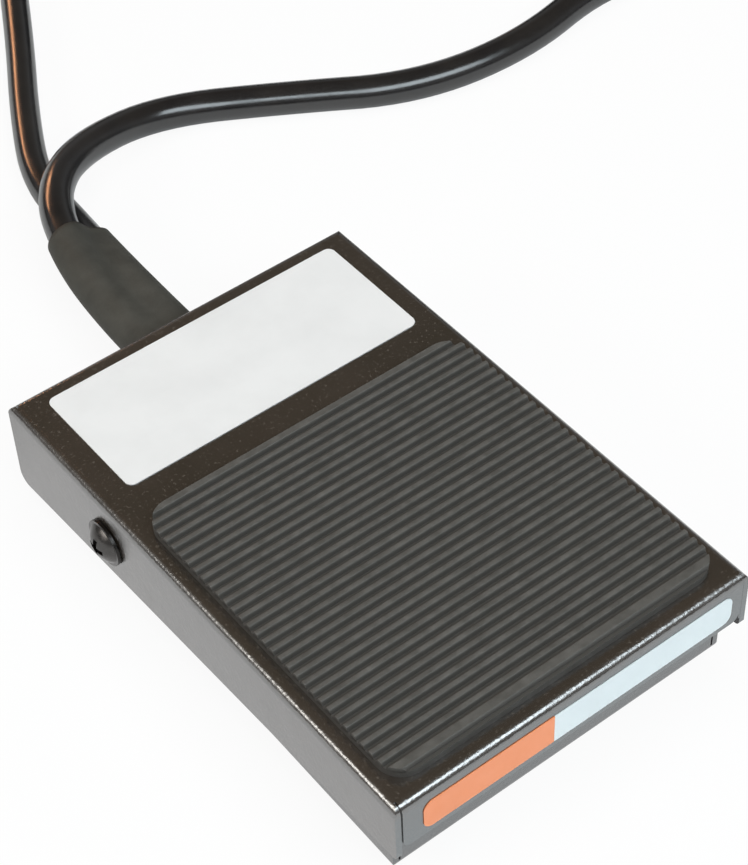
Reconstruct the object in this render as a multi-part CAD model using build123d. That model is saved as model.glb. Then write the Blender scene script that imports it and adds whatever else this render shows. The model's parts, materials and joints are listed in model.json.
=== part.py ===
"""Compact sheet-steel foot switch with a hinged treadle and two mains leads, in millimetres.

Frame: origin on the floor under the middle of the treadle, +Y towards the cord end, +Z up.
The treadle's pieces are drawn about the hinge line and then tilted to their rest position.
"""
import math
import os

from build123d import *

# Treadle cover, folded from one sheet
treadle_width = 77.0
treadle_length = 115.2
treadle_sheet = 1.2
treadle_bend_radius = 1.8
side_flange_rear_depth = 20.0
side_flange_front_depth = 13.3
side_flange_rear_corner_radius = 2.5
side_flange_front_corner_radius = 1.0
front_flange_depth = 11.2
rear_flange_depth = 6.0
end_flange_corner_radius = 1.8
corner_seam = 0.35

# Hinge line of the treadle and its rest tilt
hinge_from_rear = 31.5
hinge_below_top = 9.9
rest_tilt = 0.75

# Base pan, folded from one sheet
pan_side_gap = 0.8
pan_front_setback = 3.6
pan_rear_setback = 2.9
pan_sheet = 1.2
pan_bend_radius = 2.0
pan_wall_below_plate = 2.95
pan_front_wall_step = 0.3
pan_wall_corner_radius = 3.0
stop_gap = 0.3
stop_tab_width = 14.0

# Rubber feet pushed into the pan
foot_radius = 6.5
foot_height = 3.0
foot_neck_radius = 2.4
foot_bulb_radius = 3.3
foot_bulb_height = 2.6
foot_side_inset = 11.0
foot_end_inset = 12.0
fit_clearance = 0.1

# Hinge screws, washers and nuts
hinge_shank_radius = 2.0
hinge_running_gap = 0.08
hinge_head_radius = 4.1
hinge_head_height = 1.9
hinge_collar_radius = 4.7
hinge_collar_height = 0.6
hinge_head_gap = 0.25
hinge_slot_length = 4.0
hinge_slot_width = 1.1
hinge_slot_depth = 0.9
hinge_washer_radius = 4.0
hinge_washer_thickness = 0.5
hinge_nut_flats = 7.0
hinge_nut_height = 3.2
hinge_screw_end = 1.0

# Tread mat
mat_side_margin = 3.25
mat_front_margin = 3.7
mat_to_plate_gap = 8.33
mat_thickness = 2.4
mat_corner_radius = 5.0
mat_rear_rib = 1.35
mat_least_front_rib = 2.0
groove_pitch = 2.22
groove_top_width = 1.15
groove_bottom_width = 0.7
groove_depth = 0.9

# Blank plates
rating_plate_left_margin = 6.2
rating_plate_right_margin = 5.1
rating_plate_rear_margin = 3.7
rating_plate_length = 27.7
rating_plate_corner_radius = 1.6
plate_thickness = 0.2
front_strip_left_margin = 5.65
front_strip_right_margin = 3.75
front_strip_split = 33.15
front_strip_top_margin = 2.8
front_strip_height = 6.9
front_strip_corner_radius = 2.0

# Return spring with its peg and its cup
spring_from_front = 24.0
spring_radius = 5.0
spring_wire_radius = 0.55
spring_turns = 5.5
spring_peg_radius = 3.9
spring_peg_height = 6.0
spring_peg_round = 1.2
spring_peg_base_radius = 6.5
spring_peg_base_height = 1.0
spring_cup_radius = 7.2
spring_cup_wall = 0.8
spring_cup_height = 3.0
spring_end_gap = 0.3

# Snap-action switch
switch_side_offset = 10.0
switch_length = 27.8
switch_height = 15.9
switch_thickness = 10.3
switch_cover_thickness = 1.2
switch_edge_radius = 1.0
switch_to_clamp_gap = 15.1
switch_floor_gap = 0.3
switch_hole_radius = 1.55
switch_hole_inset = 2.8
switch_hole_height = 4.8
plunger_radius = 1.3
plunger_from_rear = 9.5
plunger_stem = 3.2
plunger_overtravel = 1.0
plunger_running_gap = 0.06
lever_thickness = 0.4
lever_width = 4.4
lever_height_above_case = 1.5
lever_length = 27.5
lever_tip_curl_radius = 1.1
lever_pin_radius = 0.4
lever_pin_gap = 0.05
lever_barrel_radius = 0.8
lever_pin_from_rear = 1.8
lever_lug_thickness = 1.2
lever_lug_gap = 0.3
lever_lug_rim = 1.2
lever_to_plate_gap = 1.15
actuator_gap = 0.3
blade_width = 4.8
blade_thickness = 0.8
blade_length = 7.0
blade_height = 9.5
blade_corner_radius = 1.0
blade_hole_radius = 0.8
blade_hole_from_tip = 2.66
blade_first_from_rear = 4.5
blade_last_from_front = 6.1
blade_count = 3

# Striker under the treadle, a folded steel tab
striker_before_switch_rear = 22.0
striker_width = 8.0
striker_length = 7.0

# Bracket that carries the switch
bracket_sheet = 1.2
bracket_above_switch = 0.8
bracket_foot = 12.0
bracket_end_inset = 0.9
bracket_bend_radius = 1.6
bracket_corner_radius = 2.5
switch_screw_radius = 1.45
switch_screw_head_radius = 2.7
switch_screw_head_height = 1.6
switch_nut_flats = 5.5
switch_nut_height = 2.2
switch_screw_end = 1.0
screw_slot_width = 0.7
screw_slot_depth = 0.6
bracket_screw_end_inset = 5.0
bracket_screw_edge_inset = 5.4
bracket_screw_radius = 1.7
bracket_screw_head_radius = 3.0
bracket_screw_head_height = 1.8
floor_screw_stub = 1.6

# Cords and the shrink sleeve that holds both
supply_cord_diameter = 7.4
load_cord_diameter = 6.6
sleeve_wall = 0.8
sleeve_height = 11.6
sleeve_inner_end_from_rear = 22.0
sleeve_prism_past_rear = 2.0
jacket_strip = 2.0
cord_pair_gap = 0.1

# Grommet in the pan's rear wall
grommet_wall = 1.0
grommet_lip = 1.0
grommet_lip_thickness = 0.7

# Clamp that grips the sleeve inside the pan
clamp_sheet = 1.5
clamp_width = 8.0
clamp_from_rear = 15.0
clamp_foot = 8.0
clamp_pad_side_gap = 0.3
clamp_pad_rise = 3.4
clamp_screw_radius = 1.7
clamp_screw_head_radius = 3.0
clamp_screw_head_height = 1.8

# Crimps and splice cap
wire_radius = 1.15
wire_ring = 1.6
crimp_block_width = 6.0
crimp_block_height = 2.6
crimp_block_length = 6.5
crimp_block_radius = 0.8
crimp_root_gap = 0.5
crimp_barrel_radius = 1.8
crimp_barrel_length = 5.0
splice_cap_radius = 2.95
splice_cap_length = 14.0
splice_cap_floor_gap = 0.05
splice_cap_x = -29.0
splice_cap_ahead = 11.95
splice_wire_spacing = 2.6

# First run of each core: angle round its jacket's middle, and length
line_in_start = (90.0, 5.4)
line_out_start = (120.0, 4.8)
neutral_in_start = (210.0, 5.0)
neutral_out_start = (240.0, 5.2)
earth_in_start = (330.0, 10.0)
earth_out_start = (0.0, 4.0)

# Bends of the inner wires: X, distance ahead of the jackets' ends, and height
line_in_bend = (-16.0, 6.95, 13.6)
line_out_rise = (-6.0, 8.55, 18.3)
line_out_bend = (-20.5, 10.95, 17.5)
neutral_in_bend = (-18.0, 4.95)
neutral_in_end_ahead = 4.75
neutral_out_dip = (-5.5, 7.95, 6.4)
neutral_out_end_ahead = 7.75
earth_out_bend = (0.6, 12.95, 9.6)

# Last straight runs in front of the two lugs
earth_lug_runs = (6.4, 7.0)

# Earth screw on the pan floor with two ring lugs, one on the other
earth_screw_x = -17.0
earth_screw_ahead = 26.95
earth_screw_radius = 1.7
earth_head_radius = 3.1
earth_head_height = 2.0
earth_lug_radius = 3.6
earth_lug_thickness = 0.8
earth_lug_tail = 7.5
earth_tongue_width = 3.0
earth_barrel_length = 5.0
earth_barrel_wall = 0.7
earth_barrel_lap = 1.0
earth_lug_turns = (45.0, 0.0)

# Free cords, route points from behind the sleeve's straight length to each coil's first turn
supply_route = [
    (-3.0, 78.0, 11.5),
    (-0.8, 96.5, 11.5),
    (5.4, 114.7, 11.9),
    (18.7, 126.3, 9.6),
    (43.4, 132.2, 3.7),
    (68.8, 117.3, 3.7),
    (93.0, 101.6, 3.7),
    (121.4, 98.0, 3.7),
    (150.0, 104.5, 3.7),
    (171.5, 98.45, 3.7),
]
load_route = [
    (4.3, 78.0, 10.8),
    (6.5, 98.7, 7.6),
    (8.8, 113.1, 4.4),
    (10.1, 129.8, 3.3),
    (20.1, 150.4, 3.3),
    (32.8, 172.6, 3.3),
    (46.6, 198.8, 3.3),
    (57.9, 218.6, 3.3),
]

# Where the sleeve's two free sections lie: middle of each cord, and the way that the section faces
sleeve_middle_section = ((-3.1, 79.0, 11.45), (4.3, 79.0, 10.7), (0.06, 1.0, -0.03))
sleeve_end_section = ((0.9, 101.4, 11.6), (6.9, 101.4, 7.0), (0.26, 0.96, -0.06))

# Coils of the stored length, with the angles at which each cord enters and leaves
coil_columns = 3
coil_rows = 2
supply_coil_centre = (193.0, 142.85)
supply_coil_mid_radius = 37.0
supply_coil_entry = 270.0
supply_coil_exit = 0.0
load_coil_centre = (108.0, 210.2)
load_coil_mid_radius = 39.5
load_coil_entry = 145.1
load_coil_exit = 90.0

# Two-pin round plug on the supply cord
plug_radius = 18.5
plug_length = 36.0
plug_nose_radius = 17.2
plug_nose_length = 6.0
plug_grip_radius = 12.0
plug_waist_radius = 13.5
plug_waist_from_end = 8.0
plug_shoulder_from_end = 20.0
plug_end_round = 2.5
plug_body_round = 6.0
plug_nose_round = 0.8
plug_thumb_slot = (5.0, 3.0, 12.5)
plug_pin_radius = 2.4
plug_pin_length = 19.0
plug_pin_end_round = 1.5
plug_pin_spacing = 19.0
plug_tail_run = 17.5
plug_tail_rise_run = 17.0
plug_tail_end_run = 34.0

# Slotted appliance connector on the load cord
connector_nose_width = 24.0
connector_nose_height = 16.0
connector_nose_length = 18.0
connector_nose_chamfer = 5.0
connector_grip_width = 28.0
connector_grip_height = 19.8
connector_grip_length = 24.0
connector_grip_corner_radius = 5.0
connector_slot_width = 4.4
connector_slot_height = 2.2
connector_slot_depth = 14.0
connector_slot_pitch = 7.0
connector_slot_rise = 2.0
connector_tail_run = 54.0

# Strain reliefs of plug and connector
relief_length = 25.0
relief_root_radius = 6.0
relief_tip_wall = 0.8
relief_groove_width = 1.6
relief_groove_pitch = 3.4
relief_groove_count = 5
relief_groove_start = 4.5
relief_groove_depth = 0.7

# Longer than any piece that a cutting shape has to pass through
cut_reach = 300.0

top = hinge_below_top
front = hinge_from_rear - treadle_length
rear = hinge_from_rear
hinge_y = treadle_length / 2 - hinge_from_rear
half_width = treadle_width / 2
pan_width = treadle_width - 2 * (treadle_sheet + pan_side_gap)
pan_front = pan_front_setback - treadle_length / 2
pan_rear = treadle_length / 2 - pan_rear_setback
pan_floor = foot_height + pan_sheet
lever_top = pan_floor + switch_floor_gap + switch_height + lever_height_above_case + lever_thickness
hinge_height = lever_top + lever_to_plate_gap + treadle_sheet - hinge_below_top
pan_wall_top = hinge_height + top - treadle_sheet - pan_wall_below_plate
on_rest_tilt = Pos(0, hinge_y, hinge_height) * Rot(-rest_tilt, 0, 0)
BASE = (Align.CENTER, Align.CENTER, Align.MIN)
parts = {}


def prism_yz(points, width, corner_radii):
    """Extrude a closed outline in Y and Z both ways along X, with some of its corners rounded."""
    face = make_face(Polyline(*[(y, z) for y, z in points], close=True))
    for (y, z), radius in corner_radii:
        corner = face.vertices().sort_by_distance((y, z))[0]
        face = fillet(corner, radius)
    return extrude(Plane.YZ * face, amount=width / 2, both=True)


def flange_plate(width, height):
    """A hanging sheet in XZ with its top edge on z = 0 and its two lower corners rounded."""
    face = Pos(0, -height / 2) * Rectangle(width, height)
    face = fillet(face.vertices().sort_by(Axis.Y)[:2], end_flange_corner_radius)
    return extrude(Plane.XZ * face, amount=-treadle_sheet)


def along_x(shape, direction=1):
    """Turn a piece that is drawn along +Z so that it points along X."""
    return Rot(0, 90 * direction, 0) * shape


def rod(radius, length):
    return Cylinder(radius, length, align=BASE)


def round_top(shape, radius):
    """Round the highest rim of a turned piece."""
    rim = shape.faces().sort_by(Axis.Z)[-1].outer_wire().edges()
    return fillet(rim, radius)


def hex_nut(flats, height, hole):
    """A hexagon nut that stands on z = 0."""
    prism = extrude(RegularPolygon(flats / 2, 6, major_radius=False), height)
    return prism - rod(hole, height)


# Treadle

def treadle_cover():
    """Top plate with two tapered side flanges, a front flange and a short rear one."""
    low_front = top - side_flange_front_depth
    low_rear = top - side_flange_rear_depth
    outline = [(front, top), (rear, top), (rear, low_rear), (front, low_front)]
    rounds = [
        ((rear, low_rear), side_flange_rear_corner_radius),
        ((front, low_front), side_flange_front_corner_radius),
    ]
    block = prism_yz(outline, treadle_width, rounds)
    top_edges = block.faces().sort_by(Axis.Z)[-1].edges()
    block = fillet(top_edges, treadle_bend_radius)
    under = top - treadle_sheet
    deep = top - side_flange_rear_depth - 2 * treadle_sheet
    inner_outline = [
        (front + treadle_sheet, under),
        (rear - treadle_sheet, under),
        (rear - treadle_sheet, deep),
        (front + treadle_sheet, deep),
    ]
    hollow = prism_yz(inner_outline, treadle_width - 2 * treadle_sheet, [])
    hollow_edges = hollow.faces().sort_by(Axis.Z)[-1].edges()
    hollow = fillet(hollow_edges, treadle_bend_radius - treadle_sheet)
    shell = block - hollow
    bend_bottom = top - treadle_bend_radius
    between_sides = Box(treadle_width - 2 * treadle_sheet, 2 * cut_reach, cut_reach, align=BASE)
    shell -= Pos(0, 0, bend_bottom - cut_reach) * between_sides
    plate_width = treadle_width - 2 * treadle_sheet - 2 * corner_seam
    front_plate = flange_plate(plate_width, front_flange_depth - treadle_bend_radius)
    rear_plate = flange_plate(plate_width, rear_flange_depth - treadle_bend_radius)
    shell += Pos(0, front, bend_bottom) * front_plate
    shell += Pos(0, rear - treadle_sheet, bend_bottom) * rear_plate
    seam_x = half_width - treadle_sheet - corner_seam / 2
    seam = Box(corner_seam, 2 * treadle_bend_radius, 2 * cut_reach)
    for side in (-1, 1):
        for end in (front, rear):
            shell -= Pos(side * seam_x, end, 0) * seam
    return shell - along_x(Cylinder(hinge_shank_radius + hinge_running_gap, cut_reach))


def tread_mat():
    """Rubber mat with rounded corners, a wide front rib and as many straight grooves as fit behind it."""
    width = treadle_width - 2 * mat_side_margin
    behind = mat_to_plate_gap + rating_plate_length + rating_plate_rear_margin
    length = treadle_length - mat_front_margin - behind
    last_groove = length - mat_rear_rib - groove_top_width
    steps = int((last_groove - mat_least_front_rib) / groove_pitch)
    slope = (groove_top_width - groove_bottom_width) / 2
    outline = [(0, 0), (0, mat_thickness)]
    for index in range(steps + 1):
        start = last_groove - (steps - index) * groove_pitch
        outline.append((start, mat_thickness))
        outline.append((start + slope, mat_thickness - groove_depth))
        outline.append((start + slope + groove_bottom_width, mat_thickness - groove_depth))
        outline.append((start + groove_top_width, mat_thickness))
    outline.append((length, mat_thickness))
    outline.append((length, 0))
    ribbed = prism_yz(outline, width, [])
    plan = extrude(Pos(0, length / 2) * RectangleRounded(width, length, mat_corner_radius), mat_thickness)
    return Pos(0, front + mat_front_margin, top) * (ribbed & plan)


def rating_plate():
    """Blank white plate behind the mat."""
    width = treadle_width - rating_plate_left_margin - rating_plate_right_margin
    sheet = RectangleRounded(width, rating_plate_length, rating_plate_corner_radius)
    centre_x = (rating_plate_left_margin - rating_plate_right_margin) / 2
    centre_y = rear - rating_plate_rear_margin - rating_plate_length / 2
    return Pos(centre_x, centre_y, top) * extrude(sheet, plate_thickness)


def front_strip(first, last, round_side):
    """One half of the blank strip on the front flange, from one X to another."""
    width = last - first
    face = Rectangle(width, front_strip_height)
    corners = face.vertices().sort_by(Axis.X)
    corners = corners[:2] if round_side < 0 else corners[-2:]
    face = fillet(corners, front_strip_corner_radius)
    centre_z = top - front_strip_top_margin - front_strip_height / 2
    plate = extrude(Plane.XZ * face, amount=plate_thickness)
    return Pos((first + last) / 2, front, centre_z) * plate


def striker():
    """Pressed boss under the plate that pushes on the lever of the switch."""
    ahead_of_hinge = hinge_y - switch_rear() + striker_before_switch_rear
    lift = ahead_of_hinge * math.sin(math.radians(rest_tilt))
    reach = lever_to_plate_gap - actuator_gap + lift
    boss = Box(striker_width, striker_length, reach, align=(Align.CENTER, Align.CENTER, Align.MAX))
    boss = fillet(boss.edges().filter_by(Axis.X).group_by(Axis.Z)[0], reach * 0.45)
    return Pos(switch_side_offset, -ahead_of_hinge, top - treadle_sheet) * boss


def spring_cup():
    """Shallow ring under the plate that keeps the spring in place."""
    ring = rod(spring_cup_radius, spring_cup_height)
    ring -= rod(spring_cup_radius - spring_cup_wall, spring_cup_height)
    return Pos(0, front + spring_from_front, top - treadle_sheet - spring_cup_height) * ring


# Base pan

def stop_height():
    """Top of the rear stop tabs, just under the resting treadle."""
    behind = pan_rear - hinge_y
    return hinge_height + (top - treadle_sheet) - behind * math.tan(math.radians(rest_tilt)) - stop_gap


def base_pan():
    """Folded tray with side walls, a front wall and a rear wall with two stop tabs."""
    high = pan_wall_top
    outline = [(pan_front, foot_height), (pan_rear, foot_height), (pan_rear, high), (pan_front, high)]
    rounds = [(corner, pan_wall_corner_radius) for corner in outline[2:]]
    block = prism_yz(outline, pan_width, rounds)
    block = fillet(block.faces().sort_by(Axis.Z)[0].edges(), pan_bend_radius)
    inner_width = pan_width - 2 * pan_sheet
    inner_length = pan_rear - pan_front - 2 * pan_sheet
    middle_y = (pan_front + pan_rear) / 2
    hollow = Pos(0, middle_y, pan_floor) * Box(inner_width, inner_length, cut_reach, align=BASE)
    hollow = fillet(hollow.faces().sort_by(Axis.Z)[0].edges(), pan_bend_radius - pan_sheet)
    shell = block - hollow
    bend_top = foot_height + pan_bend_radius
    shell -= Pos(0, 0, bend_top) * Box(inner_width, 2 * cut_reach, cut_reach, align=BASE)
    wall_width = inner_width - 2 * corner_seam
    front_rise = high - pan_front_wall_step - bend_top
    front_face = Rectangle(wall_width, front_rise)
    front_face = fillet(front_face.vertices().sort_by(Axis.Y)[-2:], pan_wall_corner_radius)
    front_wall = extrude(Plane.XZ * front_face, amount=-pan_sheet)
    shell += Pos(0, pan_front, bend_top + front_rise / 2) * front_wall
    rear_rise = high - bend_top
    rear_face = Pos(0, rear_rise / 2) * Rectangle(wall_width, rear_rise)
    tab_rise = stop_height() - bend_top
    tab_x = (wall_width - stop_tab_width) / 2
    for side in (-1, 1):
        rear_face += Pos(side * tab_x, tab_rise / 2) * Rectangle(stop_tab_width, tab_rise)
    rear_wall = extrude(Plane.XZ * rear_face, amount=-pan_sheet)
    shell += Pos(0, pan_rear - pan_sheet, bend_top) * rear_wall
    hinge_hole = Cylinder(hinge_shank_radius + hinge_running_gap, cut_reach)
    shell -= Pos(0, hinge_y, hinge_height) * along_x(hinge_hole)
    for x, y in foot_places():
        shell -= Pos(x, y, 0) * rod(foot_neck_radius + fit_clearance, cut_reach)
    for x, y in floor_screw_places():
        shell -= Pos(x, y, 0) * rod(bracket_screw_radius + fit_clearance, cut_reach)
    shell -= Pos(0, spring_y(), 0) * rod(spring_rivet_radius() + fit_clearance, cut_reach)
    shell -= grommet_opening(grommet_wall)
    return shell


def foot_places():
    """Centres of the four feet."""
    x = pan_width / 2 - foot_side_inset
    return [(sx * x, y) for y in (pan_front + foot_end_inset, pan_rear - foot_end_inset) for sx in (-1, 1)]


def spring_y():
    return spring_from_front - treadle_length / 2


def spring_rivet_radius():
    return spring_peg_radius * 0.6


def rubber_foot():
    """Tapered foot with a neck in the pan's hole and a bulb above it."""
    pad = Cone(foot_radius - 0.8, foot_radius, foot_height, align=BASE)
    neck = Pos(0, 0, foot_height) * rod(foot_neck_radius, pan_sheet)
    bulb = Pos(0, 0, pan_floor) * round_top(rod(foot_bulb_radius, foot_bulb_height), foot_bulb_height * 0.6)
    return pad + neck + bulb


def grommet_opening(grow):
    """The rear wall's flat oval hole, larger than the sleeve by the given amount all round."""
    tunnel = extrude(Plane.XZ * sleeve_outline(grow), amount=-4 * pan_sheet)
    return Pos(0, pan_rear - 2.5 * pan_sheet, sleeve_height) * tunnel


def sleeve_outline(grow):
    """Flat oval of the sleeve, larger by the given amount all round."""
    return SlotOverall(sleeve_width() + 2 * grow, sleeve_thickness() + 2 * grow)


def sleeve_width():
    return supply_cord_diameter + cord_pair_gap + load_cord_diameter + 2 * sleeve_wall


def sleeve_thickness():
    return supply_cord_diameter + 2 * sleeve_wall


def cord_grommet():
    """Rubber grommet whose groove takes the edge of the rear wall's hole."""
    outer = sleeve_outline(grommet_wall + grommet_lip)
    body = extrude(Plane.XZ * outer, amount=-pan_sheet - 2 * grommet_lip_thickness)
    rim = outer - sleeve_outline(grommet_wall)
    groove = Pos(0, grommet_lip_thickness, 0) * extrude(Plane.XZ * rim, amount=-pan_sheet)
    body = Pos(0, pan_rear - pan_sheet - grommet_lip_thickness, sleeve_height) * (body - groove)
    return body - grommet_opening(0.0)


# Hinge

def ball_cap(radius, height):
    """Shallow dome on z = 0, cut from a ball."""
    ball_radius = (radius**2 + height**2) / (2 * height)
    return Pos(0, 0, height - ball_radius) * Sphere(ball_radius) & rod(radius, height)


def hinge_screw():
    """Domed screw with a collar, drawn along +Z with the underside of its collar on z = 0."""
    length = hinge_head_gap + treadle_sheet + pan_side_gap + pan_sheet + hinge_nut_height + hinge_screw_end
    collar = rod(hinge_collar_radius, hinge_collar_height)
    dome = ball_cap(hinge_head_radius, hinge_head_height)
    shank = Pos(0, 0, -length) * rod(hinge_shank_radius, length)
    slot_z = hinge_collar_height + hinge_head_height - hinge_slot_depth
    slot = Pos(0, 0, slot_z) * Box(hinge_slot_length, hinge_slot_width, cut_reach, align=BASE)
    return collar + Pos(0, 0, hinge_collar_height) * dome + shank - slot - Rot(0, 0, 90) * slot


def add_hinge(side, name):
    """Screw, washer and nut of one end of the hinge; side is -1 on the left and 1 on the right."""
    at_hinge = Pos(0, hinge_y, hinge_height)
    head_x = half_width + hinge_head_gap
    parts["hinge_screw_" + name] = at_hinge * Pos(side * head_x, 0, 0) * along_x(hinge_screw(), side)
    washer = rod(hinge_washer_radius, hinge_washer_thickness)
    washer -= rod(hinge_shank_radius + hinge_running_gap, hinge_washer_thickness)
    parts["hinge_washer_" + name] = at_hinge * Pos(side * pan_width / 2, 0, 0) * along_x(washer, side)
    nut_x = pan_width / 2 - pan_sheet - hinge_nut_height
    nut = hex_nut(hinge_nut_flats, hinge_nut_height, hinge_shank_radius)
    parts["hinge_nut_" + name] = at_hinge * Pos(side * nut_x, 0, 0) * along_x(nut, side)


# Return spring

def spring_peg():
    """Peg riveted to the pan inside the spring."""
    flange = Pos(0, 0, pan_floor) * rod(spring_peg_base_radius, spring_peg_base_height)
    peg = Pos(0, 0, pan_floor) * round_top(rod(spring_peg_radius, spring_peg_height), spring_peg_round)
    rivet = Pos(0, 0, foot_height) * rod(spring_rivet_radius(), pan_sheet)
    return Pos(0, spring_y(), 0) * (flange + peg + rivet)


def return_spring():
    """Compression spring with its ends ground flat."""
    bottom = pan_floor + spring_peg_base_height
    ahead_of_hinge = hinge_y - spring_y() - spring_radius
    underside = hinge_height + top - treadle_sheet + ahead_of_hinge * math.sin(math.radians(rest_tilt))
    height = underside - spring_end_gap - bottom
    pitch = (height - spring_wire_radius) / spring_turns
    coil = Helix(pitch, pitch * spring_turns, spring_radius)
    section = Plane(origin=coil @ 0, z_dir=coil % 0) * RegularPolygon(spring_wire_radius, 8)
    wire = Pos(0, 0, spring_wire_radius / 2) * sweep(section, path=coil, is_frenet=True)
    ground = rod(spring_radius + 2 * spring_wire_radius, height)
    return Pos(0, spring_y(), bottom) * (wire & ground)


# Snap-action switch

def switch_base():
    return pan_floor + switch_floor_gap


def switch_rear():
    return clamp_y() - clamp_width / 2 - switch_to_clamp_gap


def switch_middle_y():
    return switch_rear() - switch_length / 2


def switch_hole_places():
    """Y and Z of the two through holes of the case."""
    z = switch_base() + switch_hole_height
    return [(switch_rear() - switch_hole_inset, z), (switch_rear() - switch_length + switch_hole_inset, z)]


def switch_holes():
    """The two through holes of the case, along X."""
    return [Pos(0, y, z) * along_x(Cylinder(switch_hole_radius, cut_reach)) for y, z in switch_hole_places()]


def lever_pin_place():
    y = switch_rear() - lever_pin_from_rear
    return y, lever_top - lever_barrel_radius


def switch_case():
    """Moulded body with rounded edges, a plunger bore and two lugs for the lever pin."""
    width = switch_thickness - switch_cover_thickness
    x = switch_side_offset + switch_cover_thickness / 2
    y = switch_middle_y()
    body = Box(width, switch_length, switch_height, align=BASE)
    body = fillet(body.edges().filter_by(Axis.X), switch_edge_radius)
    body = Pos(x, y, switch_base()) * body
    pin_y, pin_z = lever_pin_place()
    lug_root = switch_base() + switch_height - switch_edge_radius
    lug_radius = lever_pin_radius + lever_lug_rim
    for side in (-1, 1):
        lug_x = switch_side_offset + side * (lever_width / 2 + lever_lug_gap + lever_lug_thickness / 2)
        lug = Box(lever_lug_thickness, 2 * lug_radius, pin_z + lever_lug_rim - lug_root, align=BASE)
        lug = fillet(lug.edges().filter_by(Axis.X).group_by(Axis.Z)[-1], lug_radius * 0.6)
        body += Pos(lug_x, pin_y, lug_root) * lug
    bore_bottom = switch_base() + switch_height - plunger_stem - plunger_overtravel
    bore = rod(plunger_radius + plunger_running_gap, cut_reach)
    body -= Pos(switch_side_offset, switch_rear() - plunger_from_rear, bore_bottom) * bore
    body -= Pos(0, pin_y, pin_z) * along_x(Cylinder(lever_pin_radius, cut_reach))
    for hole in switch_holes():
        body -= hole
    return body


def switch_cover():
    """Flat side cover of the switch."""
    x = switch_side_offset - switch_thickness / 2 + switch_cover_thickness / 2
    y = switch_middle_y()
    plate = Box(switch_cover_thickness, switch_length, switch_height, align=BASE)
    plate = fillet(plate.edges().filter_by(Axis.X), switch_edge_radius)
    plate = Pos(x, y, switch_base()) * plate
    for hole in switch_holes():
        plate -= hole
    return plate


def switch_plunger():
    """Push pin with a rounded top."""
    top_z = switch_base() + switch_height + lever_height_above_case - actuator_gap
    bottom_z = switch_base() + switch_height - plunger_stem
    pin = round_top(rod(plunger_radius, top_z - bottom_z), plunger_radius * 0.45)
    return Pos(switch_side_offset, switch_rear() - plunger_from_rear, bottom_z) * pin


def switch_lever():
    """Leaf lever with a rolled barrel round its pin and a curled tip."""
    pin_y, pin_z = lever_pin_place()
    tip = pin_y - lever_length
    under = (Align.CENTER, Align.MIN, Align.MAX)
    leaf = Pos(0, tip, lever_top) * Box(lever_width, lever_length, lever_thickness, align=under)
    barrel = Pos(0, pin_y, pin_z) * along_x(Cylinder(lever_barrel_radius, lever_width))
    curl = Cylinder(lever_tip_curl_radius, lever_width)
    curl -= Cylinder(lever_tip_curl_radius - lever_thickness, lever_width)
    curl = Pos(0, tip, lever_top - lever_tip_curl_radius) * along_x(curl)
    behind_curl = Box(lever_width, lever_length, lever_length, align=under)
    curl -= Pos(0, tip, lever_top - lever_thickness) * behind_curl
    bore = Pos(0, pin_y, pin_z) * along_x(Cylinder(lever_pin_radius + lever_pin_gap, cut_reach))
    return Pos(switch_side_offset, 0, 0) * (leaf + barrel + curl - bore)


def lever_pin():
    pin_y, pin_z = lever_pin_place()
    length = lever_width + 2 * (lever_lug_gap + lever_lug_thickness)
    return Pos(switch_side_offset, pin_y, pin_z) * along_x(Cylinder(lever_pin_radius, length))


def blade_places():
    """Y positions of the flat terminals."""
    first = switch_rear() - blade_first_from_rear
    last = switch_rear() - switch_length + blade_last_from_front
    return [first + (last - first) * index / (blade_count - 1) for index in range(blade_count)]


def copies(shape, places):
    """The same piece at several places, as one."""
    return Compound(children=[Pos(*place) * shape for place in places])


def switch_terminals():
    """Flat blades out of the cover side, each with a hole near its tip."""
    root_x = switch_side_offset - switch_thickness / 2
    blade = Box(blade_length, blade_width, blade_thickness, align=(Align.MAX, Align.CENTER, Align.CENTER))
    blade = fillet(blade.edges().filter_by(Axis.Z).group_by(Axis.X)[0], blade_corner_radius)
    blade -= Pos(blade_hole_from_tip - blade_length, 0, 0) * Cylinder(blade_hole_radius, cut_reach)
    return copies(blade, [(root_x, y, switch_base() + blade_height) for y in blade_places()])


def bracket_length():
    return switch_length - 2 * bracket_end_inset


def bracket_block(bend_radius):
    """Block as large as the bracket, rounded along the bend."""
    height = switch_floor_gap + switch_height + bracket_above_switch
    block = Box(bracket_foot, bracket_length(), height, align=(Align.MIN, Align.CENTER, Align.MIN))
    bend = block.edges().filter_by(Axis.Y).group_by(Axis.Z)[0].sort_by(Axis.X)[0]
    return fillet(bend, bend_radius)


def switch_bracket():
    """Folded bracket: an upright plate beside the case and a foot on the pan."""
    inner = bracket_block(bracket_bend_radius - bracket_sheet)
    bracket = bracket_block(bracket_bend_radius) - Pos(bracket_sheet, 0, bracket_sheet) * inner
    bracket = fillet(bracket.edges().filter_by(Axis.X).group_by(Axis.Z)[-1], bracket_corner_radius)
    bracket = Pos(switch_side_offset + switch_thickness / 2, switch_middle_y(), pan_floor) * bracket
    for hole in switch_holes():
        bracket -= hole
    for x, y in bracket_screw_places():
        bracket -= Pos(x, y, 0) * rod(bracket_screw_radius + fit_clearance, cut_reach)
    return bracket


def bracket_screw_places():
    x = switch_side_offset + switch_thickness / 2 + bracket_foot - bracket_screw_edge_inset
    reach = bracket_length() / 2 - bracket_screw_end_inset
    return [(x, switch_middle_y() + side * reach) for side in (-1, 1)]


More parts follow.
